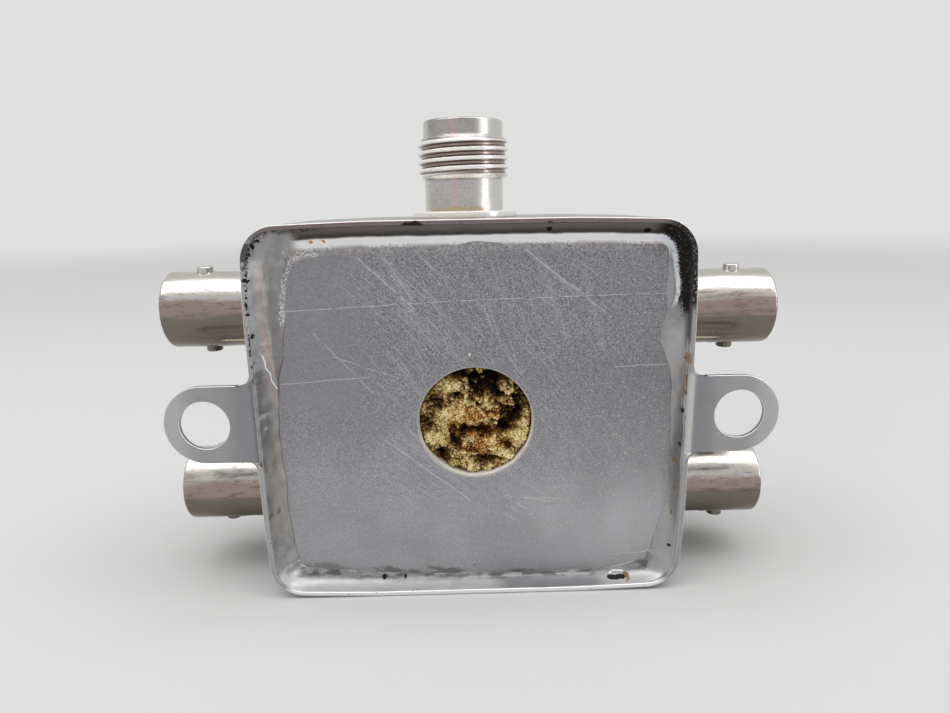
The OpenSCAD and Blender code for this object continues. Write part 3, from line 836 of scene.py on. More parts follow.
# %% Plate
HOLE_R = 6.95
HOLE_BREAK = 0.2
HOLE_X, HOLE_DROP = 0.3, 1.3
HOLE_Z = MID_Z - HOLE_DROP
PLATE_EDGE = 0.1
PLATE_INSET = SHEET + PLATE_GAP


def around_hole(radius, depth, turn):
    """Points round the middle of the hole, in a plane behind the rim."""
    x, z = HOLE_X + radius * np.cos(turn), HOLE_Z + radius * np.sin(turn)
    return np.stack([x, np.full_like(turn, depth), z], axis=1)


def hole_ring(radius, depth):
    """Points on the hole, each in the direction of its outline sample."""
    edge = wall_ring(PLATE_INSET, depth)
    return around_hole(radius, depth, np.arctan2(edge[:, 2] - HOLE_Z, edge[:, 0] - HOLE_X))


plate_rings = [
    wall_ring(PLATE_INSET, PLATE_BACK), wall_ring(PLATE_INSET, PLATE_FRONT + PLATE_EDGE),
    wall_ring(PLATE_INSET + PLATE_EDGE, PLATE_FRONT), hole_ring(HOLE_R + 2 * HOLE_BREAK, PLATE_FRONT),
    hole_ring(HOLE_R + HOLE_BREAK, PLATE_FRONT),
    hole_ring(HOLE_R + 0.3 * HOLE_BREAK, PLATE_FRONT + 0.3 * HOLE_BREAK),
    hole_ring(HOLE_R, PLATE_FRONT + HOLE_BREAK), hole_ring(HOLE_R, PLATE_BACK),
]
plate = make_piece("soldered_plate", [skin(plate_rings)], sharp=25)
print("plate hole", 2 * HOLE_R, "mm")

# %% [markdown]
# ## Solder seam
#
# Solder was run by hand between the plate and the walls. It climbs high up the left wall and
# lies in a wide puddle in the upper left corner, it is a smooth bead along the top, and
# along the bottom it coats the wall almost to the rim. A closed ring of cross-sections
# follows the outline: a list of stations says how wide and how high the solder is, and slow
# and quick noise make the hand-made lumps. Each point keeps how far it lies from the wall
# towards the plate, so that the finish can paint soot and flux along the seam.

# %% Stations of the seam
SEAM_STATIONS = [
    # Place x, z from the middle of the case, width on the plate, height on the wall, in mm
    (HALF_W, -18.3, 2.6, 1.7), (HALF_W, -11.4, 0.9, 1.7), (HALF_W, -4.7, 0.8, 1.7),
    (HALF_W, 3.6, 1.4, 1.7), (HALF_W, 9.8, 2.7, 1.7), (HALF_W, 14.5, 1.4, 1.4),
    (HALF_W - 1, 21, 2.0, 1.1), (15, HALF_H, 2.6, 1.4), (0, HALF_H, 2.4, 1.4), (-8, HALF_H, 2.3, 1.4),
    (-19.5, HALF_H, 3.3, 1.7), (-HALF_W + 1, 21, 3.1, 2.0), (-HALF_W, 15, 3.8, 2.5),
    (-HALF_W, 8, 3.1, 2.6), (-HALF_W, 4.5, 2.1, 2.7), (-HALF_W, -4, 1.8, 2.7), (-HALF_W, -12, 1.8, 2.7),
    (-HALF_W, -17, 2.2, 2.7), (-HALF_W + 1, -21, 2.7, 2.5), (-18, -HALF_H, 1.6, 2.3),
    (-6, -HALF_H, 0.9, 2.3), (8, -HALF_H, 0.8, 2.3), (18, -HALF_H, 1.1, 2.3), (HALF_W - 1, -21, 3.0, 2.1),
]
SEAM_STEPS = 16
SEAM_BELOW_RIM = 0.05
UNDER_PLATE, UNDER_WALL = 0.1, 0.1
# The upper left corner was filled further in: how far x, y, z, and over what distance, in mm
CORNER_PULL, CORNER_SPREAD = (1.5, 0.0, -0.3), 5.5
LUMPS = {
    # Length of a wave in mm, height of the wave, number of the pattern
    "width": [(6.0, 0.22, 1), (2.2, 0.08, 2), (0.7, 0.03, 7)],
    "height": [(5.0, 0.10, 3), (1.6, 0.04, 4)],
    "face": [(2.4, 0.10, 5), (0.9, 0.03, 6)],
}


def station_values():
    """Width and height of the seam at every outline sample, smooth between stations."""
    walked = np.concatenate([[0], np.cumsum(np.hypot(*np.diff(outline, axis=0).T))])
    around = walked[-1] + np.hypot(*(outline[0] - outline[-1]))
    places = [walked[np.hypot(*(outline - (x, z)).T).argmin()] for x, z, _, _ in SEAM_STATIONS]
    order = np.argsort(places)
    places = np.array(places)[order]
    values = np.array([station[2:] for station in SEAM_STATIONS])[order]
    before = np.searchsorted(places, walked, side="right") - 1
    after = (before + 1) % len(places)
    start, end = places[before], places[after]
    span = np.where(end > start, end - start, end - start + around)
    share = np.where(before < 0, walked + around - start, walked - start) / span
    share = smooth(np.clip(share, 0, 1))[:, None]
    return values[before] * (1 - share) + values[after] * share


seam_width, seam_height = station_values().T
print("seam width %.1f to %.1f mm" % (seam_width.min(), seam_width.max()))

# %% Seam mesh
def lumps(points, kind):
    """The sum of a kind's ripples at each point."""
    return sum(ripple(points, *wave) for wave in LUMPS[kind])


def flat_share():
    """How much of a cross-section is a straight slope: more at far left and low on the right."""
    x, z = outline.T
    low_right = np.clip((9.5 - z) / 3, 0, 1) * np.clip((x - 20.5) / 4, 0, 1)
    return np.clip(0.25 + 0.12 * (-x - 20.5), 0.25, 0.85) + 0.55 * low_right


def seam_rings():
    """Cross-sections from the wall over the fillet to the plate, then back underneath."""
    wall = wall_ring(SHEET, PLATE_FRONT)
    inward = wall_ring(SHEET + 1, PLATE_FRONT) - wall
    width = seam_width * (1 + lumps(wall, "width"))
    height = np.minimum(seam_height * (1 + lumps(wall, "height")), PLATE_FRONT - FRONT - SEAM_BELOW_RIM)
    from_corner = (outline[:, 0] + HALF_W) ** 2 + (outline[:, 1] - HALF_H) ** 2
    corner_pull = np.exp(-from_corner / CORNER_SPREAD ** 2)
    flat = flat_share()
    rings, across, reach = [], [], []
    for share in np.linspace(0, 1, SEAM_STEPS):
        turn = share * math.pi / 2
        run = (1 - flat) * (1 - math.cos(turn)) ** 1.15 + flat * share
        lift = height * ((1 - flat) * (1 - math.sin(turn)) ** 1.1 + flat * (1 - share))
        ring = wall + inward * (width * run)[:, None] + np.outer(corner_pull * run, CORNER_PULL)
        ring[:, 1] -= lift
        bump = lumps(ring, "face") * math.sin(math.pi * share) ** 0.7
        ring += inward * (bump * math.cos(turn))[:, None]
        ring[:, 1] -= bump * math.sin(turn)
        rings.append(ring)
        across.append(run)
        reach.append(width * run)
    under = [
        # Distance from the wall, height over the plate, share of the width
        (width, -UNDER_PLATE, 1.0), (-UNDER_WALL, -UNDER_PLATE, 0.5), (-UNDER_WALL, height, 0.0),
    ]
    for away, lift, share in under:
        ring = wall + inward * np.broadcast_to(away, width.shape)[:, None]
        ring += np.outer(corner_pull * share, CORNER_PULL)
        ring[:, 1] -= lift
        rings.append(ring)
        across.append(np.full(len(outline), share))
        reach.append(width * share)
    return rings, {"across": across, "reach": reach}


def build_seam():
    rings, places = seam_rings()
    piece = make_piece("solder_run", [skin(rings)], sharp=70)
    for name, values in places.items():
        keep_values(piece, name, np.concatenate(values))
    return piece


seam = build_seam()
print("seam faces:", len(seam.data.polygons))

# %% [markdown]
# ## Foam in the hole
#
# The filling is an old brittle foam. In the hole it has broken into crumbs, with clumps that
# stand out and dark caves between them. The CAD node is one body with pieces of the circuit
# sealed in it, so a copy of it is kept, a pocket is cut behind the hole, and a plug with a
# fine rough face goes into the pocket. The face is a disc of points on rings, pushed back
# and forth by noise at three sizes. Each point stores how deep it lies, so that the finish
# can paint it pale on its crests and nearly black in its caves, as painted shade.

# %% Foam plug
FOAM_GAP = 0.12
FOAM_FRONT = PLATE_FRONT + 0.45
POCKET_BACK = -3.6
PLUG_R = HOLE_R - FOAM_GAP
PLUG_RINGS, PLUG_TURNS = 150, 420
WORN_EDGE, EDGE_FROM = 0.5, 0.96
FOAM_CAVES = [
    # Place right of and above the hole's middle, radius right and up, depth, in mm
    (1.3, 4.3, 2.6, 1.9, 2.4), (-1.5, 5.9, 3.4, 0.9, 1.3), (3.6, 5.2, 2.0, 1.0, 1.0),
    (4.0, 0.2, 1.7, 1.5, 1.3), (0.2, -1.3, 4.3, 0.95, 1.25), (5.2, 1.6, 1.0, 1.9, 0.8),
    (-2.5, -2.6, 1.3, 1.3, 1.3), (-6.0, -0.3, 1.0, 1.4, 1.2), (-5.1, 2.5, 1.2, 1.0, 1.3),
    (-2.5, 3.1, 1.1, 0.9, 1.1), (-3.9, -4.4, 1.1, 1.1, 1.3), (0.9, -5.1, 2.0, 0.7, 1.0),
    (5.6, 2.8, 0.9, 1.7, 1.1), (3.8, -3.4, 0.9, 0.6, 0.7), (-0.6, -3.9, 0.8, 0.6, 0.6),
]
FOAM_CLUMPS = [
    # Place right of and above the hole's middle, radius right and up, how far it stands out
    (-2.6, 4.5, 1.1, 0.9, 0.5), (2.8, 4.8, 0.8, 0.7, 0.5), (4.0, 3.7, 0.8, 0.8, 0.5),
    (-0.9, 2.9, 0.9, 1.2, 0.6), (1.6, 1.9, 2.6, 0.7, 0.5), (-3.8, 0.9, 1.4, 1.0, 0.5),
    (5.8, -0.6, 0.7, 1.3, 0.4), (4.9, -2.0, 1.2, 0.8, 0.5), (2.0, -3.4, 1.4, 1.2, 0.5),
    (4.0, -4.4, 1.0, 0.7, 0.5), (-6.0, -2.0, 0.7, 1.3, 0.4), (-5.2, -2.8, 0.8, 0.7, 0.4),
    (-1.0, -5.4, 1.3, 0.8, 0.4), (-1.8, 1.0, 2.0, 0.6, 0.3),
]


def swell(at, spots, offset):
    """How much a list of round spots adds at a place: each fades out over an uneven edge."""
    total = 0.0
    for x, z, reach_x, reach_z, amount in spots:
        broad = noise.noise(at * 0.8 + Vector((offset, 0, 0)))
        small = noise.noise(at * 2.2 + Vector((offset, 7, 0)))
        away = math.hypot((at[0] - x) / reach_x, (at[2] - z) / reach_z) + 0.6 * broad + 0.6 * small
        total += amount * smooth(min(max(1.35 - away, 0) / 1.3, 1))
    return total


def foam_depth(x, z):
    """How far the foam lies behind its front at a place in the hole, in millimetres."""
    at = Vector((x, 3.0, z))
    crumbs = noise.fractal(at * 0.8, 1.0, 2.0, 4)
    grains = noise.voronoi(at * 3.4)[0][0]
    specks = noise.noise(at * 8.0)
    depth = 0.65 - 0.60 * crumbs + 0.75 * (grains - 0.3) + 0.16 * specks
    return max(depth + swell(at, FOAM_CAVES, 5) - swell(at, FOAM_CLUMPS, 11), 0.0)


def plug_shell():
    """The plug: a rough front disc, a side wall and a flat back, with the depth of each point."""
    turns = np.linspace(0, 2 * math.pi, PLUG_TURNS, endpoint=False)
    rings, depths = [], []
    for radius in PLUG_R * np.sqrt(np.linspace(0.0004, 1, PLUG_RINGS)):
        x, z = radius * np.cos(turns), radius * np.sin(turns)
        depth = np.array([foam_depth(*at) for at in zip(x, z)])
        depth += WORN_EDGE * max(radius / PLUG_R - EDGE_FROM, 0) / (1 - EDGE_FROM)
        rings.append(np.stack([HOLE_X + x, FOAM_FRONT + depth, HOLE_Z + z], axis=1))
        depths.append(depth)
    back = rings[-1].copy()
    back[:, 1] = POCKET_BACK
    rings.append(back)
    depths.append(np.full(PLUG_TURNS, 3.0))
    return skin(rings, closed=False, caps=(0, -1)), np.concatenate(depths)


plug_mesh, plug_depth = plug_shell()
plug = make_piece("foam_plug", [plug_mesh], sharp=180)
keep_values(plug, "depth", plug_depth)
print("foam depth %.2f to %.2f mm" % (plug_depth[:-PLUG_TURNS].min(), plug_depth[:-PLUG_TURNS].max()))

# %% Foam body with its pocket
def merged_copy(node, name):
    """A copy of a CAD node's mesh with its loose triangles merged."""
    mesh = frame["nodes"][node].data.copy()
    mesh.name = name
    whole = bmesh.new()
    whole.from_mesh(mesh)
    bmesh.ops.remove_doubles(whole, verts=whole.verts, dist=1e-7)
    whole.to_mesh(mesh)
    return add_object(name, mesh)


def apply_modifiers(piece):
    """Turns a piece and its modifiers into one plain mesh."""
    shaped = bpy.data.meshes.new_from_object(piece.evaluated_get(bpy.context.evaluated_depsgraph_get()))
    piece.modifiers.clear()
    piece.data = shaped


def cut_pocket(body):
    """Cuts a round pocket behind the plate's hole."""
    turns = np.linspace(0, 2 * math.pi, 96, endpoint=False)
    rings = [around_hole(HOLE_R, depth, turns) for depth in (PLATE_FRONT - 1, POCKET_BACK - 0.1)]
    cutter = make_piece("pocket_cutter", [skin(rings, closed=False, caps=(0, -1))])
    cut = body.modifiers.new("pocket", "BOOLEAN")
    cut.object, cut.operation, cut.solver = cutter, "DIFFERENCE", "EXACT"
    apply_modifiers(body)
    bpy.data.objects.remove(cutter)


foam_body = merged_copy("foam_fill", "foam_body")
cut_pocket(foam_body)
print("foam body:", len(foam_body.data.polygons), "faces")

# %% [markdown]
# ## Crumbs on the foam
#
# Loose crumbs lie all over the broken face. Geometry Nodes scatter them: points are spread
# over the plug's front, and each one gets a small lumpy ball of random size and turn. The
# balls have few faces because there are hundreds of them, and the tree ends by making them
# real and giving them the foam's finish.

# %% Geometry Nodes: crumbs
ANY_TURN = (6.3, 6.3, 6.3)
FACES_FRONT = -0.15
CRUMB_DENSITY = 2.0e7
CRUMB_SIZES = (0.06, 0.17)
CRUMB_DEPTH = 2.4
CRUMB_SEED = 3


def end_tree(tree, outputs, geometry, finish):
    """Ends a Geometry Nodes tree: instances become real and get their finish."""
    real = place(tree, "GeometryNodeRealizeInstances", {0: geometry})
    painted = place(tree, "GeometryNodeSetMaterial", {"Geometry": out(real), "Material": finish})
    wire(outputs[0], out(painted))
    return tree


def crumb_tree(finish):
    """Small balls of random size and turn on the faces that look forwards."""
    tree, given, outputs = new_group(
        "scatter_crumbs",
        {"Geometry": "Geometry", "Density": 1e7, "Smallest": 1e-4, "Largest": 3e-4, "Front": 0.0,
         "Seed": CRUMB_SEED},
        {"Geometry": "Geometry"}, "GeometryNodeTree")
    turned_to = parts(out(place(tree, "GeometryNodeInputNormal")))[1]
    lies_at = parts(out(place(tree, "GeometryNodeInputPosition")))[1]
    below = {"data_type": "FLOAT", "operation": "LESS_THAN"}
    facing = place(tree, "FunctionNodeCompare", {0: turned_to, 1: FACES_FRONT}, **below)
    near = place(tree, "FunctionNodeCompare", {0: lies_at, 1: given["Front"]}, **below)
    chosen = place(tree, "FunctionNodeBooleanMath", {0: out(facing), 1: out(near)}, operation="AND")
    spread = place(tree, "GeometryNodeDistributePointsOnFaces", {
        "Mesh": given["Geometry"], "Selection": out(chosen),
        "Density": given["Density"], "Seed": given["Seed"]})
    ball = place(tree, "GeometryNodeMeshIcoSphere", {"Radius": 1.0, "Subdivisions": 1})
    size = place(tree, "FunctionNodeRandomValue", {
        2: given["Smallest"], 3: given["Largest"], "Seed": given["Seed"]}, data_type="FLOAT")
    turn = place(tree, "FunctionNodeRandomValue", {
        0: ORIGIN, 1: ANY_TURN, "Seed": given["Seed"]}, data_type="FLOAT_VECTOR")
    balls = place(tree, "GeometryNodeInstanceOnPoints", {
        "Points": out(spread, "Points"), "Instance": out(ball),
        "Scale": out(size, 1), "Rotation": out(turn)})
    return end_tree(tree, outputs, out(balls), finish)


def run_tree(piece, tree, values):
    """Runs a Geometry Nodes tree on a piece with named inputs and keeps the plain mesh."""
    modifier = piece.modifiers.new(tree.name, "NODES")
    modifier.node_group = tree
    for item in tree.interface.items_tree:
        if item.in_out == "INPUT" and item.name in values:
            modifier[item.identifier] = values[item.name]
    apply_modifiers(piece)


crumb_finish = bpy.data.materials.new("crumbs")
crumbs = add_object("foam_crumbs", plug.data.copy())
run_tree(crumbs, crumb_tree(crumb_finish), {
    "Density": CRUMB_DENSITY, "Smallest": CRUMB_SIZES[0] * MM, "Largest": CRUMB_SIZES[1] * MM,
    "Front": (FOAM_FRONT + CRUMB_DEPTH) * MM, "Seed": CRUMB_SEED})
keep_values(crumbs, "depth", np.array([v.co[1] for v in crumbs.data.vertices]) / MM - FOAM_FRONT)
print("crumb faces:", len(crumbs.data.polygons))

# %% [markdown]
# ## Turned jacks
#
# A jack body was turned on a lathe, so it is modelled the same way: a closed outline of
# radius and height goes once round the axis. Every edge that a lathe tool breaks is a short
# slope in that outline. The same builder makes the bodies, the insulators and the contacts,
# and a matrix puts each on its wall.

# %% Lathe
STUB_R, STUB_LEN = 4.7, 4.6
BORE_R = 3.02
FLANGE_T = 0.75
BARREL_R = 4.825
MOUTH_R, MOUTH_DEPTH = 4.05, 8.4
INSULATOR_SINK = 0.4
TURNS = 128


def circle(radius, height, angle):
    """Points round Z at given angles."""
    return np.stack([radius * np.cos(angle), radius * np.sin(angle), np.full_like(angle, height)], axis=1)


def turned(side, turns=TURNS):
    """Points and faces of a closed outline of (radius, height) turned round Z."""
    angle = np.linspace(0, 2 * math.pi, turns, endpoint=False)
    return skin([circle(radius, height, angle) for radius, height in side])


def put(matrix, shell):
    """Moves a shell of points and faces by a matrix in millimetres."""
    points, faces = shell
    turn = np.array(matrix.to_3x3())
    return points @ turn.T + np.array(matrix.translation), faces


def rounded(corner, size, towards_a, towards_b, steps=3):
    """A rounded corner of an outline: from the side of neighbour a to the side of neighbour b."""
    corner, a, b = (np.array(p, float) for p in (corner, towards_a, towards_b))
    start = corner + size * (a - corner) / np.hypot(*(a - corner))
    end = corner + size * (b - corner) / np.hypot(*(b - corner))
    shares = np.linspace(0, 1, steps + 1)
    return [tuple((1 - s) ** 2 * start + 2 * s * (1 - s) * corner + s**2 * end) for s in shares]


def rounded_outline(corners):
    """A closed outline from (radius, height, rounding) corners."""
    points = []
    for i, (r, z, size) in enumerate(corners):
        before, after = corners[i - 1][:2], corners[(i + 1) % len(corners)][:2]
        points += rounded((r, z), size, before, after) if size else [(r, z)]
    return points


def jack_outline(length, barrel):
    """A jack body's outline: stub and flange, the given barrel, and the bore of its mouth."""
    foot = [(BORE_R, -STUB_LEN, 0.1), (STUB_R, -STUB_LEN, 0.25), (STUB_R, 0, 0), (FLANGE_R, 0, 0.08),
            (FLANGE_R, FLANGE_T, 0.15)]
    mouth = [(BARREL_R, length, 0.3), (MOUTH_R + 0.12, length, 0.1), (MOUTH_R, length - 0.25, 0.05),
             (MOUTH_R, length - MOUTH_DEPTH, 0), (BORE_R, length - MOUTH_DEPTH, 0)]
    return rounded_outline(foot + barrel + mouth)


def jack_pieces(jack, ending, shells):
    """Puts shells made along Z on a jack's wall and makes one piece of them."""
    return make_piece(jack + ending, [put(jack_place(jack), shell) for shell in shells], sharp=40)


print("lathe ready")

# %% Bayonet jacks
LUG_R, LUG_REACH, LUG_SETBACK = 1.0, 5.5, 4.4
LUG_FOOT, LUG_AXIS = 4.3, 0.05
LUG_TURNS = {"upper_left_jack": -2, "lower_left_jack": -4, "upper_right_jack": 3, "lower_right_jack": -6}
COLLAR_STEP = 0.05
COLLAR_PLACE = 6.9


def lug_shell(turn, height):
    """One bayonet lug: a short pin with a broken edge, along a turned X axis."""
    side = rounded_outline([(LUG_AXIS, LUG_FOOT, 0), (LUG_R, LUG_FOOT, 0), (LUG_R, LUG_REACH, 0.22),
                            (LUG_AXIS, LUG_REACH - 0.04, 0)])
    lie_down = Matrix.Translation((0, 0, height)) @ Matrix.Rotation(math.pi / 2, 4, "Y")
    return put(Matrix.Rotation(turn, 4, "Z") @ lie_down, turned(side, 48))


def bayonet_body(jack):
    """The body with its lugs. The barrel has a faint step where it was turned twice."""
    length = jack_length(jack)
    step = BARREL_R - COLLAR_STEP
    barrel = [(step, FLANGE_T, 0.12), (step, length - COLLAR_PLACE - 0.1, 0),
              (BARREL_R, length - COLLAR_PLACE, 0)]
    shells = [turned(jack_outline(length, barrel))]
    for half_turn in (0, math.pi):
        shells.append(lug_shell(math.radians(LUG_TURNS[jack]) + half_turn, length - LUG_SETBACK))
    piece = jack_pieces(jack, "_turned", shells)
    height = np.array([v.co[2] for v in piece.data.vertices]) / MM
    keep_values(piece, "rise", (height - jack_axis(jack)[2]) / BARREL_R)
    return piece


bodies = {jack: bayonet_body(jack) for jack in JACKS[1:]}
print("bayonet bodies:", len(bodies))

# %% [markdown]
# ## Threaded jack
#
# Its body comes from the same lathe, with a plain barrel where the thread goes. The thread
# is a skin of its own and follows a rule, so Geometry Nodes make it: a flat grid is rolled
# round the axis, and each point's radius is the root of the thread plus a ridge that climbs
# one pitch a turn, cut off by a cone at both ends as the tool's chamfer does.

# %% Threaded body
NOSE_LEN = 1.8
THREAD_LEN = 5.1
THREAD_R = 5.55
THREAD_DEPTH = 0.44
THREAD_PITCH = 1.03
THREAD_SINK = 0.03
top_length = jack_length("top_jack")
THREAD_FOOT = top_length - NOSE_LEN - THREAD_LEN
threaded_shell = turned(jack_outline(top_length, [(BARREL_R, FLANGE_T, 0.12)]))
print("thread starts %.2f mm above the case" % THREAD_FOOT)


# %% Geometry Nodes: thread
def thread_tree():
    """A flat grid rolled into a thread: X runs once round, and Y along the axis."""
    tree, given, outputs = new_group(
        "cut_thread",
        {"Outer radius": "Float", "Depth": "Float", "Pitch": "Float", "Length": "Float", "Chamfer": "Float",
         "Material": "Material"},
        {"Geometry": "Geometry"}, "GeometryNodeTree")
    grid = place(tree, "GeometryNodeMeshGrid", {
        "Size X": 1.0, "Size Y": 1.0, "Vertices X": 193, "Vertices Y": 181})
    x, y, _ = parts(out(place(tree, "GeometryNodeInputPosition")))
    around = x + 0.5
    height = (y + 0.5) * given["Length"]
    turns = height / given["Pitch"] - around
    crest = ease(turns.math("PINGPONG", 0.5), 0.08, 0.40)
    ridge = given["Outer radius"] - given["Depth"] + crest * given["Depth"]
    narrow = given["Outer radius"] - given["Chamfer"]
    radius = ridge & (narrow + height * 1.2) & (narrow + (given["Length"] - height))
    angle = around * (2 * math.pi)
    rolled = place(tree, "ShaderNodeCombineXYZ", {
        0: radius * angle.math("COSINE"), 1: radius * angle.math("SINE"), 2: height})
    moved = place(tree, "GeometryNodeSetPosition", {"Geometry": out(grid), "Position": out(rolled)})
    joined = place(tree, "GeometryNodeMergeByDistance", {"Geometry": out(moved), "Distance": 1e-7})
    return end_tree(tree, outputs, out(joined), given["Material"])


thread_finish = bpy.data.materials.new("thread_nickel")
thread = add_object("top_jack_thread", bpy.data.meshes.new("top_jack_thread"))
run_tree(thread, thread_tree(), {
    "Outer radius": THREAD_R * MM, "Depth": THREAD_DEPTH * MM, "Pitch": THREAD_PITCH * MM,
    "Length": THREAD_LEN * MM, "Chamfer": (THREAD_R - BARREL_R + THREAD_SINK) * MM,
    "Material": thread_finish})
thread_at = np.array([top_axis[0], top_axis[1], 2 * HALF_H + THREAD_FOOT]) * MM
thread.data.transform(Matrix.Translation(thread_at))
thread.data.shade_smooth()
bodies["top_jack"] = jack_pieces("top_jack", "_turned", [threaded_shell])
print("thread faces:", len(thread.data.polygons))

# %% [markdown]
# ## Insulators and contacts
#
# Looking into a jack one sees a white insulator with a gold socket in its middle. Both are
# turned. The socket is slotted into four fingers, which only a real gap shows well, so it is
# turned as four quarter pieces with a narrow gap between them.

# %% Insulators and contacts
INSULATOR_R, NOSE_R = 3.0, 2.45
CONTACT_R, SOCKET_R, SOCKET_DEPTH = 1.05, 0.7, 5.0
CUP_R, CUP_LEN, CUP_BORE_R, CUP_DEPTH = 0.9, 3.0, 0.5, 1.6
STEM_AXIS = 0.02
SLOT_W = 0.3
CONTACT_GAP = 0.02


def insulator_piece(jack):
    length = jack_length(jack)
    shoulder, tip, bore = length - MOUTH_DEPTH, length - INSULATOR_SINK, CONTACT_R + CONTACT_GAP
    side = rounded_outline([
        (bore, -STUB_LEN, 0), (INSULATOR_R, -STUB_LEN, 0.1), (INSULATOR_R, shoulder, 0.1),
        (NOSE_R, shoulder, 0), (NOSE_R, tip, 0.15), (bore + 0.1, tip, 0.05), (bore, tip - 0.15, 0)])
    return jack_pieces(jack, "_dielectric", [turned(side, 96)])


def finger(turn, low, high):
    """One of four fingers of a socket: a quarter of a tube, less half a slot on each side."""
    rings = []
    for radius, height in [(SOCKET_R, low), (CONTACT_R, low), (CONTACT_R, high - 0.12),
                           (CONTACT_R - 0.12, high), (SOCKET_R + 0.08, high), (SOCKET_R, high - 0.08)]:
        edge = math.asin(SLOT_W / 2 / radius)
        rings.append(circle(radius, height, np.linspace(edge, math.pi / 2 - edge, 13) + turn))
    return skin(list(np.array(rings).transpose(1, 0, 2)), closed=False, caps=(0, -1))


def contact_piece(jack):
    """Solder cup, stem and the four fingers of the socket."""
    tip = jack_length(jack) - INSULATOR_SINK
    root, socket_end, cup_end = tip - SOCKET_DEPTH + 1, tip - SOCKET_DEPTH, -STUB_LEN - CUP_LEN
    stem = rounded_outline([
        (STEM_AXIS, cup_end + CUP_DEPTH, 0), (CUP_BORE_R, cup_end + CUP_DEPTH, 0),
        (CUP_BORE_R, cup_end, 0.05), (CUP_R, cup_end, 0.1), (CUP_R, -STUB_LEN, 0),
        (CONTACT_R, -STUB_LEN, 0.05), (CONTACT_R, root, 0),
        (SOCKET_R, root, 0), (SOCKET_R, socket_end, 0), (STEM_AXIS, socket_end, 0)])
    fingers = [finger(quarter * math.pi / 2, root, tip) for quarter in range(4)]
    return jack_pieces(jack, "_socket", [turned(stem, 64)] + fingers)


insulators = {jack: insulator_piece(jack) for jack in JACKS}
contacts = {jack: contact_piece(jack) for jack in JACKS}
print("insulators and contacts:", len(insulators), len(contacts))

# %% [markdown]
# ## Finishes of the sheet
#
# The case and the plate are plated steel that has gone satin grey. Both use the same plan:
# a base colour that drifts a little, a roughness that follows the grain, and on top of it
# the marks of this one object, each put where it is by its place in millimetres. A mark is
# a mask, and a list of coats says how strongly each mask covers the metal and in which
# colour. Scratches are paler than the metal round them and a little sunken. Soot, flux and
# rust are not metal, so their masks also take the metallic value down. Some coats are not
# marks but painted light: highlights on edges, a near-white bore, a plate that is lighter
# towards the bottom, and painted light and shade on the ears and inner walls. Several of
# them take the metallic value down too.

# %% Helpers for finishes
def start_finish(name):
    """A material with one Principled shader: its tree, the shader's inputs and the position."""
    tree = fresh_tree(bpy.data.materials.get(name) or bpy.data.materials.new(name))
    shader = place(tree, "ShaderNodeBsdfPrincipled")
    place(tree, "ShaderNodeOutputMaterial", {"Surface": out(shader)})
    millimetres = place(tree, "ShaderNodeGroup", node_tree=bpy.data.node_groups["millimetres"])
    return tree, shader.inputs, out(millimetres)


def set_inputs(shader, values):
    """Wires or sets the shader's inputs by name."""
    for label, value in values.items():
        wire(shader[label], value)


def attribute(tree, name):
    """A number that the piece's own mesh keeps."""
    return out(place(tree, "ShaderNodeAttribute", attribute_name=name), "Fac")


def relief(height, depth_mm, strength=1.0):
    """A bump of the given depth."""
    return out(place(height.tree, "ShaderNodeBump", {
        "Strength": strength, "Distance": depth_mm * MM, "Height": height}))


def colour(red, green, blue):
    """A colour socket's value from its parts in linear light."""
    return (red, green, blue, 1.0)


def two_tones(share, first, second):
    """A base colour that goes from one tone to another."""
    return blend(share, colour(*first), colour(*second))


def coats(metal, layers):
    """Lays coats over a colour: each is a mask and a tone, which may be a Value."""
    for mask, tone in layers:
        metal = blend(mask, metal, tone if isinstance(tone, Value) else colour(*tone))
    return metal


def largest(masks):
    """The largest of several masks."""
    first, *others = masks
    for mask in others:
        first = first | mask
    return first


# %% Helpers for marks
PIT_REACH = 1.4
PIT_DEPTH = 0.4


def patch(position, centre, reach, unevenness=0.5, grain=1.0):
    """A stain's mask."""
    return use_group("stain patch", position, centre=centre, reach=reach,
                     unevenness=unevenness, grain=grain)["Mask"]


def stains(position, y, reach_y, spots, unevenness, grain):
    """Stains of one kind at a list of places x, z with reaches x, z."""
    return largest(patch(position, (x, y, z), (reach_x, reach_y, reach_z), unevenness, grain)
                   for x, z, reach_x, reach_z in spots)


def pits(position, size, amount, shift=ORIGIN):
    """Scattered specks. Shift moves the pattern, so that two finishes differ."""
    if shift != ORIGIN:
        position = vectors("ADD", position, shift)
    return use_group("pits", position, size=size, amount=amount)["Mask"]


def scratch_mask(position, x0, z0, x1, z1, width, broken):
    return use_group("scratch", position, start=(x0, 0, z0), end=(x1, 0, z1), width=width,
                     broken=broken)["Mask"]


def chain(position, points, width, broken):
    """Scratches through a list of places x, z."""
    return largest(scratch_mask(position, *start, *end, width, broken)
                   for start, end in zip(points, points[1:]))


def pit_marks(position):
    """The black pits along the left joint."""
    return stains(position, FRONT + PIT_DEPTH, PIT_REACH, LEFT_PITS, 0.6, 2.6)


print("finish helpers ready")

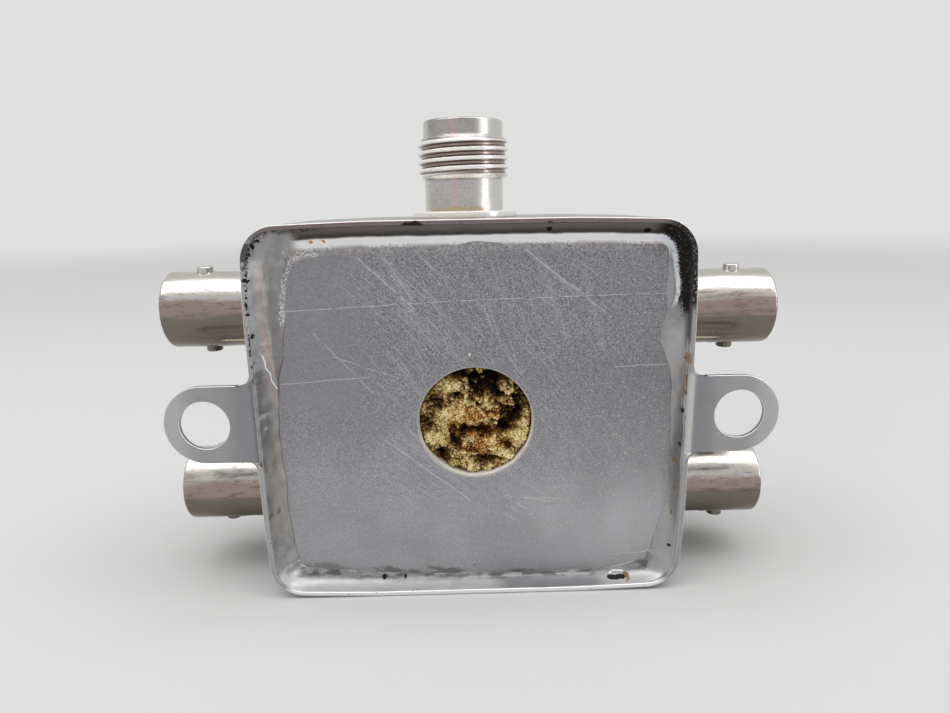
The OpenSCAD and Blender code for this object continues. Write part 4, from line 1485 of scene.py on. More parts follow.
# %% Marks of the plate
PLATE_SCRATCHES = [
    # Start x, z, end x, z, width in mm, how broken
    (-22.2, 36.0, -0.1, 36.9, 0.07, 0.34), (-0.1, 36.9, 23.5, 37.3, 0.06, 0.36),
    (-23.0, 27.2, -12.2, 27.9, 0.07, 0.30), (17.1, 28.5, 23.5, 28.8, 0.06, 0.30),
    (17.3, 3.6, 22.1, 3.9, 0.07, 0.20), (-12.8, 42.0, -6.5, 35.9, 0.08, 0.36),
    (-9.9, 42.0, -6.5, 36.5, 0.06, 0.38), (6.5, 42.5, 15.7, 35.2, 0.06, 0.38),
    (-10.8, 19.9, -0.6, 11.7, 0.08, 0.34), (-18.6, 33.4, -8.4, 21.8, 0.05, 0.40),
    (-16.5, 30.5, -9.0, 27.8, 0.05, 0.40), (3.5, 12.3, 9.5, 11.2, 0.07, 0.30),
    (5.5, 11.9, 11.0, 11.5, 0.05, 0.30),
]
PLATE_SMEARS = [
    # Broad soft smears: start x, z, end x, z and width, in mm
    (-9.9, 42.1, -7.1, 37.1, 0.9), (-12.8, 42.0, -7.6, 37.1, 0.5), (6.5, 42.5, 15.7, 35.2, 0.35),
    (8.0, 41.2, 11.3, 32.2, 0.7), (-0.0, 41.8, 4.8, 36.2, 0.6), (-8.5, 35.7, -1.2, 30.0, 0.8),
    (-4.7, 37.0, -0.2, 31.6, 0.5), (13.2, 40.1, 15.5, 31.2, 0.6), (-10.3, 31.2, -6.9, 26.8, 0.5),
    (-9.5, 21.2, -0.6, 12.7, 0.6), (3.8, 15.6, 10.7, 10.7, 0.5),
]
SMEAR_BROKEN = 0.15
PALE_EDGE = [
    # Crumbly pale line where the solder ends in the upper left corner: x, z, in mm
    (-17.6, 42.5), (-19.2, 42.7), (-20.4, 41.8), (-21.1, 40.3), (-21.5, 38.6), (-21.9, 36.3), (-22.0, 34.6),
]
PLATE_SCUFFS = [
    # Turn in degrees, fineness a mm, length in mm, amount, middle x, z, reach x, z
    (-44, 6.5, 7.0, 0.62, -8.0, 38.5, 9.0, 6.0), (-38, 7.0, 6.0, 0.52, 11.0, 38.0, 9.0, 6.0),
    (-52, 6.0, 8.0, 0.56, -1.0, 27.0, 15.0, 16.0), (-38, 6.5, 5.0, 0.62, -6.0, 15.5, 8.0, 6.0),
    (-60, 6.0, 4.0, 0.60, -7.5, 29.5, 3.5, 4.0), (-35, 6.5, 4.0, 0.60, 5.5, 11.0, 6.0, 3.5),
    (-75, 5.0, 6.0, 0.46, 4.0, 35.0, 12.0, 9.0), (-50, 6.0, 7.0, 0.46, 10.0, 24.0, 12.0, 12.0),
    (4, 6.0, 7.0, 0.36, 0.0, 23.0, 24.0, 22.0),
]


def scuff_field(position, turn, fineness, length, amount, x, z, reach_x, reach_z):
    return use_group("scuffs", position, turn=math.radians(turn), fineness=fineness, length=length,
                     amount=amount, centre=(x, 0, z), reach=(reach_x, 1, reach_z))["Mask"]


# %% Scuffed plate
def plate_finish():
    _, shader, position = start_finish("scuffed_plate")
    x, y, z = parts(position)
    grain = use_group("sheet grain", position, fineness=5.6, broad=0.10)
    tone = grain["Tone"]
    scratch = largest(scratch_mask(position, *line) for line in PLATE_SCRATCHES)
    scuff = largest(scuff_field(position, *field) for field in PLATE_SCUFFS)
    smear = largest(scratch_mask(position, *line, SMEAR_BROKEN) for line in PLATE_SMEARS)
    busy = band(x, -11.0, 19.0, 3.0) * ease(z, 25.0, 30.0)
    right_dull = ease(x, 8.0, 17.0) * band(z, 13.0, 31.0, 4.0)
    calm = ease(x, -10.0, -16.0) * ease(z, 20.0, 26.0)
    low_right = ease(x, 2.0, 14.0) * ease(z, 17.0, 7.0)
    from_hole = vectors("LENGTH", flatten(vectors("SUBTRACT", position, (HOLE_X, 0, HOLE_Z))))
    flecks = pits(position, 0.19, 0.5, shift=(31, 0, 17)) * ease(calm, 0.0, 1.0, 0.55, 0.2)
    stray = patch(position, (-0.3, PLATE_FRONT, 30.4), (0.16, 1, 0.22), 0.5, 3.0)
    crumbly = chain(position, PALE_EDGE, 0.34, 0.2) * mottle(position, 4.6, 0.46, 0.60)
    fringe = ease(z, 42.0, 43.0) * mottle(position, 3.0, 0.38, 0.64, 3.0)
    # A soft pale strip of painted light by the right wall.
    glow = patch(position, (23.5, PLATE_FRONT, 39.0), (0.6, 1, 5.0), 0.2, 0.5)
    dusty = patch(position, (21.6, PLATE_FRONT, 42.7), (2.0, 1, 0.9), 0.5, 0.8)
    foot = patch(position, (-8.5, PLATE_FRONT, 1.0), (17, 3, 1.4), 0.5, 0.5)
    drawn_out = mottle(stretch(position, (0.35, 1, 1.4)), 1.0, 0.42, 0.6, 3.0)
    grease = patch(position, (-19.6, PLATE_FRONT, 2.5), (3.6, 3, 0.9), 0.4, 0.8)
    grime = largest([foot * drawn_out * 0.7, grease * 0.45, pits(position, 0.16, 0.16) * 0.5])
    # Painted light: the bore of the hole is painted near white and not metal, as where it catches the
    # light.
    bore = ease(y, PLATE_FRONT + 0.12, PLATE_FRONT + 0.2)
    metal = two_tones(ease(tone, 0.36, 0.64), (0.195, 0.192, 0.21), (0.37, 0.365, 0.385))
    for speckle, amount in [(tone, 0.40), (cloud(position, 9.0), 0.45)]:
        strong = two_tones(ease(speckle, 0.40, 0.60), (0.11, 0.114, 0.13), (0.43, 0.43, 0.45))
        metal = coats(metal, [(busy * amount, strong)])
    metal = coats(metal, [
        (right_dull * 0.28, (0.19, 0.19, 0.195)),
        (calm * 0.5, (0.30, 0.292, 0.305)),
        # Painted light: the plate is lighter towards the bottom, and most at the lower right.
        (ease(z, 30.0, 4.0) * 0.55, (0.52, 0.515, 0.535)),
        (low_right * 0.35, (0.66, 0.655, 0.67)),
        (mottle(position, 0.12, 0.4, 0.65) * 0.25, (0.24, 0.235, 0.25)),
        (smear * mottle(position, 3.0, 0.30, 0.60) * 0.30, (0.46, 0.46, 0.475)),
        (scuff * 0.42, (0.60, 0.60, 0.62)),
        (scratch * 0.6, (0.74, 0.73, 0.74)),
        # Painted highlight: a thin bright ring on the broken front edge of the hole.
        (ease(from_hole, HOLE_R + 0.20, HOLE_R + 0.08) * 0.6, (0.80, 0.80, 0.80)),
        (flecks, (0.70, 0.70, 0.72)),
        (stray, (0.78, 0.74, 0.55)),
        (crumbly * 0.65, (0.82, 0.82, 0.82)),
        (fringe * 0.5, (0.58, 0.52, 0.52)),
        (glow * 0.4, (0.62, 0.62, 0.63)),
        (dusty * mottle(position, 3.5, 0.42, 0.56, 3.0) * 0.55, (0.17, 0.135, 0.13)),
        (grime, (0.085, 0.08, 0.075)),
        (bore, (0.98, 0.98, 0.98)),
    ])
    set_inputs(shader, {
        "Base Color": metal,
        "Metallic": ease(grime | bore, 0.2, 1.0, 1.0, 0.12),
        "Roughness": ease(tone, 0.3, 0.7, 0.36, 0.50) - scratch * 0.08,
        "Normal": relief(grain["Height"] - (scratch | scuff * 0.4) * 0.5, 0.02)})


plate_finish()
print("scratches:", len(PLATE_SCRATCHES), "fields of scuffs:", len(PLATE_SCUFFS))

# %% Case sheet
LEFT_PITS = [
    # Pits along the joint of wall and solder on the left: place x, z and reach x, z in mm
    (-24.95, 40.5, 0.18, 0.16), (-25.05, 39.9, 0.36, 0.27), (-25.05, 38.8, 0.13, 0.13),
    (-25.1, 38.0, 0.13, 0.14), (-25.2, 37.2, 0.18, 0.36), (-25.15, 36.1, 0.22, 0.16),
    (-24.95, 33.6, 0.20, 0.26), (-25.3, 31.5, 0.15, 0.40), (-24.5, 42.8, 0.14, 0.28),
    (-24.1, 43.6, 0.20, 0.34), (-23.5, 44.2, 0.30, 0.24),
]
RIM_AMBER = [
    # Amber spots on the right rim: place x, z and reach x, z in mm
    (25.2, 29.9, 0.2, 0.6), (25.25, 25.6, 0.14, 0.35), (25.3, 22.5, 0.1, 0.3),
]
SOOT_BLACK = (0.012, 0.010, 0.009)


def case_finish():
    tree, shader, position = start_finish("satin_sheet")
    x, y, z = parts(position)
    sideways = abs(x)
    inset = attribute(tree, "inset")
    lip = ease(attribute(tree, "lip"), 0.25, 0.8)
    grain = use_group("sheet grain", position, fineness=6.0, broad=0.15)
    tone = grain["Tone"]
    on_wall = ease(sideways, HALF_W + 0.35, HALF_W + 0.1)
    front = ease(y, FRONT + 0.75, FRONT + 0.25)
    edge = on_wall * ease(inset, 0.10, 0.20)
    inner = on_wall * ease(inset, 0.50, 0.59)
    top = ease(z, 2 * HALF_H - 2.4, 2 * HALF_H - 1.4)
    far_left = ease(x, -24.0, -24.8)
    painted_light_by_wall = ease(sideways, HALF_W + 0.1, HALF_W + 0.6) * ease(sideways, HALF_W + 4.6, HALF_W + 0.8)
    # Painted light: the inner faces of the side walls, which lie in shade, are painted pale and less metal.
    painted_lit_inner_wall = inner * (ease(x, -23.4, -24.4) | ease(x, 23.4, 24.4) * ease(z, 33, 31))
    # By the left ear the bend is painted: blue-grey painted shade on the bend and a pale painted highlight
    # line beside it.
    at_ear = ease(y, FRONT + 1.3, FRONT + 0.9) * far_left * band(z, 18.0, 28.2, 0.6)
    painted_bend_shade = at_ear * ease(sideways, HALF_W - 0.16, HALF_W - 0.10)
    painted_bend_shade = painted_bend_shade * ease(sideways, HALF_W + 0.6, HALF_W + 0.1)
    shine = at_ear * band(sideways, HALF_W - 0.64, HALF_W - 0.18, 0.04)
    metal = two_tones(ease(tone, 0.35, 0.65), (0.33, 0.325, 0.33), (0.43, 0.425, 0.43))
    metal = coats(metal, [
        (mottle(position, 0.35, 0.45, 0.68, 3.0, 0.6) * 0.3, (0.28, 0.265, 0.25)),
        # Painted shade, blue-grey, on the ears next to the wall, and painted light towards their outer
        # ends.
        (painted_light_by_wall * 0.6, (0.22, 0.228, 0.255)),
        (ease(sideways, HALF_W + 6.5, HALF_W + 9.0) * 0.5, (0.60, 0.60, 0.61)),
        # The cut face of the rim: brownish grey along the top, and near white along the bottom as a painted
        # highlight.
        (edge * top * 0.85, (0.19, 0.165, 0.16)),
        (edge * ease(z, 1.8, 1.0) * 0.9, (0.97, 0.97, 0.98)),
        (edge * far_left * 0.7, (0.42, 0.42, 0.44)),
        (painted_lit_inner_wall * 0.85, (0.66, 0.66, 0.65)),
        (painted_bend_shade * 0.9, (0.25, 0.257, 0.278)),
        (shine, (0.95, 0.94, 0.90)),
    ])
    spark = patch(position, (-25.35, FRONT, 18.0), (0.22, 1, 0.40), 0.3, 1.6)
    blotch = patch(position, (-6.2, FRONT, 45.4), (1.4, 1.2, 0.8), 0.5, 1.5)
    notch = patch(position, (8.8, FRONT, 45.2), (0.4, 1, 0.7), 0.3, 2.0)
    right_notch = patch(position, (20.3, FRONT, 44.7), (0.5, 3, 0.4), 0.6, 2.5)
    speckle = mottle(position, 4.0, 0.62, 0.54, 3.0, 0.6)
    corner_soot = edge * speckle * ease(x, 21.0, 23.5) * ease(z, 35.0, 36.6)
    left_corner = edge * patch(position, (-24.6, FRONT, 42.6), (1.2, 1.2, 1.4), 0.6, 1.2)
    joint = ease(inset, 0.3, 0.5) * patch(position, (-25.3, FRONT, 34.5), (1.0, 1.5, 7.5), 0.3, 1.0)
    left_pits = on_wall * (joint * pits(position, 0.5, 0.85) | pit_marks(position))
    few_pits = front * edge * pits(position, 0.4, 0.35)
    # Along the top the inner face of the wall is painted black: painted shade under the rim, with soot.
    soot = largest([blotch, notch, right_notch, corner_soot, left_corner * 0.8, left_pits,
                    few_pits * 0.7, inner * top * 0.7])
    seat_stain = patch(position, (-2.8, -5.5, 2 * HALF_H), (5.5, 2.5, 0.8), 0.5, 0.7) * 0.5
    amber = stains(position, FRONT, 1.2, RIM_AMBER, 0.4, 1.6) * edge * 0.7
    red_line = front * ease(z, 2 * HALF_H - 1.2, 2 * HALF_H - 0.6) * ease(inset, 0.10, 0.14)
    red_line = red_line * ease(inset, 0.26, 0.17)
    metal = coats(metal, [
        (seat_stain, (0.30, 0.17, 0.06)),
        (amber, (0.28, 0.13, 0.03)),
        (spark * 0.9, (0.62, 0.20, 0.02)),
        (red_line * 0.5, (0.25, 0.05, 0.03)),
        (soot * 0.97, SOOT_BLACK),
        # Painted highlight: the rounded edges of the rim and the ears near white.
        (lip * 0.85, (0.95, 0.94, 0.93)),
    ])
    # Metallic drops under soot and stains and under the painted highlights and shade alike.
    dirt_and_painted_light = largest([soot, amber, seat_stain, lip * 0.5, painted_lit_inner_wall * 0.5, spark, shine, painted_bend_shade * 0.95])
    set_inputs(shader, {
        "Base Color": metal,
        "Specular IOR Level": 0.08,
        "Metallic": ease(dirt_and_painted_light, 0.1, 0.9, 1.0, 0.05),
        "Roughness": ease(tone, 0.3, 0.7, 0.30, 0.42),
        "Normal": relief(grain["Height"] - left_pits * 0.8, 0.02)})


case_finish()
print("finish of the case sheet ready")

# %% [markdown]
# ## Finish of the solder
#
# Solder is brighter than the sheet and shows its lumps in soft reflections. Along the seam
# it carries burnt flux: black near the wall at the upper left and round the upper right
# corner, amber beads down the right side, dull grey where it was dragged. Under the top wall
# it is painted dark brown, a painted shadow of that wall with soot in it. Other coats are
# painted light: a white highlight on the bead along the top, a bluish-white one on the inner
# edge at the upper right, a pale band by the bottom wall and bands of reflection down the
# left run. The seam mesh knows how far each point is from the wall, so these bands and the
# soot follow the seam however it winds.

# %% Marks of the solder
SOLDER_LINES = [
    # Cracks in the solder, painted as bright lines: painted highlights on their edges. Places x, z in mm
    [(11.7, 43.0), (13.7, 42.6), (17.2, 42.8)],
    [(-24.3, 31.2), (-24.1, 30.5), (-24.1, 29.6), (-23.7, 28.8), (-23.7, 27.9), (-23.3, 26.8)],
    [(17.1, 1.25), (17.6, 1.5), (18.8, 1.55)],
]
SOLDER_BRIGHT_SPOTS = [
    # Bright spots: centres x, z and reaches x, z in mm
    (-24.7, 23.9, 0.55, 0.3), (-24.6, 22.3, 0.2, 0.3), (26.0, 26.5, 0.3, 0.4), (25.7, 19.3, 0.3, 0.5),
]
BLACK_SPOTS = [
    # Centres x, z and reaches x, z in mm, here and in the next three lists
    (-11.8, 1.4, 0.30, 0.26), (-9.1, 1.3, 0.22, 0.24), (20.2, 44.5, 0.42, 0.3), (9.0, 44.9, 0.3, 0.26),
    (17.3, 0.96, 0.5, 0.14), (17.75, 0.99, 0.5, 0.14), (18.2, 1.03, 0.5, 0.14), (18.6, 1.07, 0.5, 0.14),
    (24.4, 5.4, 0.2, 0.2), (25.2, 36.6, 0.6, 1.2), (25.05, 23.4, 0.11, 0.34), (25.0, 19.0, 0.09, 0.26),
]
AMBER_BEADS = [
    (24.7, 16.6, 0.16, 0.3), (24.8, 12.9, 0.11, 0.5), (24.6, 9.8, 0.10, 0.3), (25.15, 29.9, 0.22, 0.62),
    (25.2, 27.2, 0.10, 1.8), (25.2, 25.6, 0.18, 0.35), (19.2, 1.15, 0.35, 0.24), (-8.0, 1.9, 1.2, 0.16),
]
OLIVE_SPOTS = [(-24.9, 11.0, 0.2, 0.6), (-24.2, 11.3, 0.17, 0.45), (-25.4, 8.6, 0.3, 0.9)]
FIRE_SPOTS = [(-18.0, 43.9, 0.24, 0.22), (-16.6, 44.0, 0.2, 0.18), (-15.2, 39.8, 0.15, 0.15)]
LEFT_REFLECTIONS = [
    # Bands of painted reflection down the left run's curved face: from x, to x, softness in mm, strength,
    # tone
    (-24.75, -24.3, 0.25, 0.40, (0.27, 0.285, 0.34)), (-24.2, -23.6, 0.35, 0.40, (0.47, 0.36, 0.33)),
    (-23.5, -23.42, 0.06, 0.40, (0.62, 0.50, 0.46)), (-23.2, -20.0, 0.15, 0.55, (0.18, 0.165, 0.16)),
]


# %% Old solder
def solder_spots(position, spots, unevenness=0.8, grain=3.0):
    """Spots that reach through the whole height of the seam."""
    return stains(position, PLATE_FRONT - 1.0, 3, spots, unevenness, grain)


def solder_finish():
    tree, shader, position = start_finish("old_solder")
    x, _, z = parts(position)
    slow, fine = cloud(position, 0.8), cloud(position, 4.5, 3.0, 0.6)
    wave, quick = (cloud(position, 0.55) - 0.5) * 0.5, fine - 0.5
    across = attribute(tree, "across")
    ragged, gentle = across + wave, across + wave * 0.4
    run = attribute(tree, "reach") + wave * 0.35
    specked = ragged + quick * 0.7
    left = ease(x, -21.0, -23.0) * ease(z, 22.0, 28.0) * ease(z, 42.3, 40.3)
    pulled = x + (cloud(stretch(position, (3, 1, 0.35)), 0.8) - 0.5) * 0.9
    flecked = patch(position, (-24.1, PLATE_FRONT - 0.8, 32.1), (0.7, 3, 0.9), 0.6, 1.0)
    warm = ease(x, -24.9, -24.4) * ease(x, -20.0, -22.0) * band(z, 8.0, 22.0, 2.0)
    along_top = ease(z, 41.0, 42.2) * ease(x, -20.5, -19.0) * ease(x, 23.6, 22.0)
    # Painted highlight: the bead along the top is painted white and less metal.
    bead = along_top * ease(run, 1.12, 1.40) * ease(run + quick * 0.9, 2.6, 1.95)
    rosy = mottle(position, 0.25, 0.42, 0.60) * ease(fine, 0.62, 0.40)
    corner = ease(x, 20.5, 22.5) * ease(z, 35.2, 36.8)
    by_jack = ease(x, 22.5, 23.5) * ease(z, 33.8, 35.6)
    # Painted highlight: a bluish-white line along the inner edge of the seam at the upper right.
    painted_blue_highlight = corner * band(gentle, 0.56, 0.84, 0.05)
    right = ease(x, 22.0, 23.5) * ease(z, 34.5, 32.5)
    # Painted highlight: the seam near the bottom wall is painted pale and less metal.
    base = ease(z, 2.0, 1.3)
    dragged = mottle(stretch(position, (0.5, 1, 1.5)), 0.9, 0.44, 0.6, 3.0)
    smear = ease(z, 3.6, 2.2) * ease(ragged, 0.35, 0.6) * dragged
    shoulder = patch(position, (-25.8, PLATE_FRONT - 0.8, 28.9), (1.1, 3, 2.6), 0.5, 1.0)
    bright_spots = stains(position, PLATE_FRONT - 0.6, 3, SOLDER_BRIGHT_SPOTS, 0.7, 2.0)
    wall_foot = ease(z, 1.9, 1.3) * band(x, 3.0, 16.0, 1.5) * ease(run, 0.45, 0.15)
    cracks = largest(chain(position, points, 0.085, 0.2) for points in SOLDER_LINES)
    crumbly = chain(position, PALE_EDGE, 0.5, 0.2) * mottle(position, 4.6, 0.46, 0.60)
    # Painted shadow of the top wall on the seam below it, dark brown, with soot in it.
    under_top = along_top * ease(run, 1.30, 1.05)
    brown = two_tones(ease(run, 0.2, 1.0), (0.17, 0.145, 0.135), (0.050, 0.042, 0.038))
    left_soot = ease(x, -15.5, -18.5) * ease(z, 39.5, 41.5) * ease(specked, 0.09, -0.02)
    soot = largest([corner * ease(specked, 0.58, 0.46), by_jack * ease(specked, 0.34, 0.16), left_soot])
    amber, olive, fire = [solder_spots(position, spots) for spots in (AMBER_BEADS, OLIVE_SPOTS, FIRE_SPOTS)]
    black_spots = ease(solder_spots(position, BLACK_SPOTS, 0.35, 1.4), 0.1, 0.7)
    sparks = pits(position, 0.26, 0.5, shift=(7, 0, 3))
    black = largest([soot * (1.0 - sparks * 0.5), black_spots, pit_marks(position)])
    metal = two_tones(ease(slow, 0.36, 0.64), (0.29, 0.285, 0.285), (0.37, 0.365, 0.365))
    # Painted reflections: bands down the left run.
    reflection_bands = [(left * band(pulled, low, high, soft) * amount, tone)
               for low, high, soft, amount, tone in LEFT_REFLECTIONS]
    metal = coats(metal, [
        (ease(fine, 0.5, 0.68) * 0.3, (0.22, 0.21, 0.20)),
        *reflection_bands,
        (flecked * mottle(position, 2.2, 0.48, 0.62) * 0.5, (0.66, 0.47, 0.44)),
        (warm * 0.5, (0.42, 0.385, 0.34)),
        (bead * 0.97, (1.0, 1.0, 1.0)),
        (along_top * ease(run, 1.95, 2.3) * rosy * 0.7, (0.42, 0.33, 0.32)),
        (painted_blue_highlight * ease(fine, 0.34, 0.46) * 0.9, (0.82, 0.87, 0.94)),
        (right * 0.45, (0.52, 0.515, 0.51)),
        (base * ease(gentle, 0.45, 0.2) * 0.6, (0.80, 0.80, 0.81)),
        (smear * 0.75, (0.085, 0.08, 0.075)),
        (shoulder * 0.55, (0.10, 0.10, 0.09)),
        (bright_spots * 0.6, (0.72, 0.71, 0.72)),
        (wall_foot * 0.6, (0.12, 0.125, 0.145)),
        (cracks * 0.9, (0.90, 0.90, 0.92)),
        (crumbly * 0.7, (0.84, 0.84, 0.84)),
        (under_top * 0.93, brown),
        (amber * 0.85, (0.20, 0.105, 0.018)),
        (olive * 0.7, (0.14, 0.12, 0.04)),
        (fire, (0.60, 0.24, 0.04)),
        (black * 0.97, (0.010, 0.008, 0.007)),
    ])
    # Metallic drops under soot, flux and spots and under the painted highlights and shadow alike.
    dirt_and_painted_light = largest([black, amber, olive, fire, under_top * 0.7, bead * 0.55, base * 0.5, painted_blue_highlight * 0.5])
    set_inputs(shader, {
        "Base Color": metal,
        "Specular IOR Level": 0.08,
        "Metallic": ease(dirt_and_painted_light, 0.05, 0.8, 1.0, 0.05),
        "Roughness": ease(slow, 0.35, 0.65, 0.30, 0.42) + black * 0.3,
        "Normal": relief(slow + fine * 0.15 + crumbly * 0.6, 0.05, strength=0.7)})


solder_finish()
print("finish of the solder ready")

# %% [markdown]
# ## Finishes of the jacks
#
# The bayonet jacks are old nickel with a warm, slightly brown tarnish. Their brown-pink front
# and dark olive underside are painted reflection, laid on by height round the axis. The
# threaded jack is brighter and whiter, with painted highlights on its crests and painted light
# and shade across its sides. Both are turned, so faint rings run round them: the colour and the
# relief follow a noise that is stretched round each axis. The lathe rings of the side jacks
# run along X and those of the top jack along Z, so one function makes both with a different
# stretch.

# %% Nickel
TOP_STRETCH, SIDE_STRETCH = (0.15, 0.15, 10.0), (10.0, 0.15, 0.15)


def nickel_base(name, bright, tarnished, amount, rings, smooth_to):
    """Bright metal with clouds of tarnish and faint lathe rings: shader, position and colour."""
    _, shader, position = start_finish(name)
    ring_tone = cloud(stretch(position, rings), 1.0)
    dull = mottle(position, 0.45, 0.42, 0.66, 3.0, 0.6)
    metal = two_tones(dull * amount, bright, tarnished)
    metal = coats(metal, [(ease(ring_tone, 0.4, 0.65) * 0.06, tarnished)])
    set_inputs(shader, {
        "Metallic": 1.0,
        "Roughness": ease(dull, 0.0, 1.0, smooth_to, smooth_to + 0.10),
        "Normal": relief(ring_tone * 0.3 + cloud(position, 2.5) * 0.5, 0.006)})
    return shader, position, metal


def nickel_finish(name, bright, tarnished, amount, fineness, smooth_to):
    """Plain metal with dark specks, for small pieces."""
    shader, position, metal = nickel_base(name, bright, tarnished, amount, (fineness,) * 3, smooth_to)
    wire(shader["Base Color"], coats(metal, [(pits(position, 0.2, 0.18) * 0.5, (0.10, 0.08, 0.06))]))


def aged_nickel_finish(name):
    """The side jacks: bright above, then by height round the axis a painted reflection: brown-pink along
    the front, dark olive below.
    """
    shader, position, metal = nickel_base(
        name, (0.60, 0.58, 0.55), (0.42, 0.38, 0.33), 0.5, SIDE_STRETCH, 0.23)
    rise = attribute(position.tree, "rise")
    x, _, z = parts(position)
    streak = cloud(stretch(position, (0.10, 0.9, 1.5)), 1.0, 4.0, 0.7)
    uneven = rise + (streak - 0.5) * 0.55
    blotches = mottle(stretch(position, (0.5, 2.0, 2.0)), 1.0, 0.50, 0.64, 5.0, 0.75)
    painted_light_by_wall = ease(abs(x), HALF_W + 6.2, HALF_W + 4.8) * ease(z, MID_Z - 1, MID_Z + 1)
    metal = coats(metal, [
        # Painted reflection: by height round the axis the barrel turns brown-pink along the front and dark
        # olive below.
        (ease(uneven, 0.50, 0.24) * 0.9, (0.33, 0.245, 0.21)),
        (ease(uneven, 0.06, -0.14) * 0.92, (0.185, 0.165, 0.13)),
        (band(rise, -0.10, 0.62, 0.1) * blotches * 0.55, (0.13, 0.085, 0.065)),
        # Painted highlight: a thin bright line low on the barrel next to the wall.
        (painted_light_by_wall * band(rise, -0.76, -0.71, 0.02), (0.92, 0.85, 0.66)),
        (pits(position, 0.22, 0.2) * 0.55, (0.08, 0.065, 0.05)),
    ])
    wire(shader["Base Color"], metal)


# %% Nickel of the top jack
def threaded_nickel_finish(name):
    """The top jack: whiter, with grime in the grooves of the thread, flux at its foot, painted highlights
    on its crests and edges, and painted light and shade across its sides.
    """
    shader, position, metal = nickel_base(
        name, (0.45, 0.435, 0.43), (0.30, 0.28, 0.27), 0.55, TOP_STRETCH, 0.24)
    away = vectors("SUBTRACT", position, (float(top_axis[0]), float(top_axis[1]), 0))
    radius = vectors("LENGTH", stretch(away, (1, 1, 0)))
    height = parts(position)[2] - 2 * HALF_H
    side = parts(away)[0]
    dusty = mottle(position, 4.0, 0.50, 0.62, 3.0, 0.7)
    thread_top = THREAD_FOOT + THREAD_LEN
    in_thread = ease(height, THREAD_FOOT + 0.3, THREAD_FOOT + 0.6)
    in_thread = in_thread * ease(height, thread_top - 0.3, thread_top - 0.6)
    groove = in_thread * ease(radius, THREAD_R - 0.12, THREAD_R - 0.34)
    low_end = ease(height, THREAD_FOOT + 0.75, THREAD_FOOT + 0.6)
    low_end = low_end * ease(radius, BARREL_R + 0.05, BARREL_R + 0.15)
    flange = ease(height, FLANGE_T + 0.05, FLANGE_T + 0.01)
    pale = largest([ease(radius, THREAD_R - 0.17, THREAD_R - 0.07), low_end, flange])
    foot_at = (float(top_axis[0]) - 1.6, -4.4, 2 * HALF_H + FLANGE_T + 0.1)
    foot = patch(position, foot_at, (4.2, 2.5, 0.42), 0.5, 0.9)
    foot = foot * ease(radius, BARREL_R + 0.4, BARREL_R + 0.2)
    metal = coats(metal, [
        (ease(height, THREAD_FOOT, THREAD_FOOT - 0.4) * 0.4, (0.68, 0.665, 0.655)),
        # Painted reflection: a pink band left of the front. Painted light on the right side and along the
        # left edge, and painted shade in the mottle on the left.
        (band(side, -1.5, -0.75, 0.25) * 0.45, (0.64, 0.46, 0.43)),
        (ease(side, 1.3, 2.3) * 0.6, (0.74, 0.725, 0.70)),
        (ease(side, -3.9, -4.5) * 0.7, (0.74, 0.71, 0.63)),
        (dusty * ease(side, 1.6, 0.8) * 0.35, (0.24, 0.225, 0.22)),
        (groove * 0.8, (0.29, 0.235, 0.20)),
        # Painted highlight: the crests of the thread, its low end and the edge of the flange near white.
        (pale, (0.98, 0.97, 0.94)),
        (foot * 0.6, (0.50, 0.32, 0.10)),
    ])
    set_inputs(shader, {
        "Base Color": metal,
        "Metallic": ease(largest([foot, pale * 0.7, flange]), 0.2, 1.0, 1.0, 0.3)})


SMALL_METALS = [
    # Name, bright tone, tarnished tone, amount of tarnish, fineness of its clouds, roughness
    ("nut_nickel", (0.58, 0.56, 0.52), (0.38, 0.35, 0.30), 0.40, 3, 0.24),
    ("spring_steel", (0.48, 0.47, 0.45), (0.30, 0.28, 0.25), 0.40, 3, 0.28),
    ("socket_gold", (0.86, 0.62, 0.24), (0.62, 0.42, 0.16), 0.35, 4, 0.18),
    ("tinned_wire", (0.72, 0.50, 0.34), (0.50, 0.30, 0.20), 0.40, 3, 0.25),
]
aged_nickel_finish("dull_nickel")
threaded_nickel_finish("bright_nickel")
threaded_nickel_finish("thread_nickel")
for metal_values in SMALL_METALS:
    nickel_finish(*metal_values)
print("metal finishes:", len(bpy.data.materials))

# %% [markdown]
# ## Finish of the foam
#
# The foam's colour follows its depth: cream on the crests, golden and then brown further in
# and nearly black in the caves. This darkening with depth is painted shade. Two noises break
# it up so that no height makes an even line. Where the foam has kept its golden skin, the
# same colours are multiplied by amber.

# %% Foam and crumbs
FOAM_COLOURS = [
    # Place on the ramp, red, green, blue
    (0.00, 0.98, 0.87, 0.52), (0.18, 0.78, 0.57, 0.22), (0.38, 0.40, 0.245, 0.07),
    (0.62, 0.13, 0.060, 0.015), (0.95, 0.022, 0.010, 0.003),
]
GOLD_SPOTS = [
    # Place x, z and reach x, z in mm, from the hole's middle
    (-1.0, 0.9, 2.6, 1.2), (2.4, -2.9, 2.6, 0.9), (0.2, -3.8, 2.4, 0.8), (0.2, -1.3, 4.3, 0.9),
    (2.6, 1.0, 1.6, 0.6), (-2.2, -0.6, 1.2, 0.6),
]
FOAM_AMBER = (0.95, 0.64, 0.26)
DARKEST_DEPTH = 2.1


def ramp(value, stops):
    """A colour ramp from (place, red, green, blue) stops."""
    node = place(value.tree, "ShaderNodeValToRGB", {0: value})
    elements = node.color_ramp.elements
    while len(elements) < len(stops):
        elements.new(0.5)
    for element, (at, *tone) in zip(elements, stops):
        element.position = at
        element.color = colour(*tone)
    return out(node)


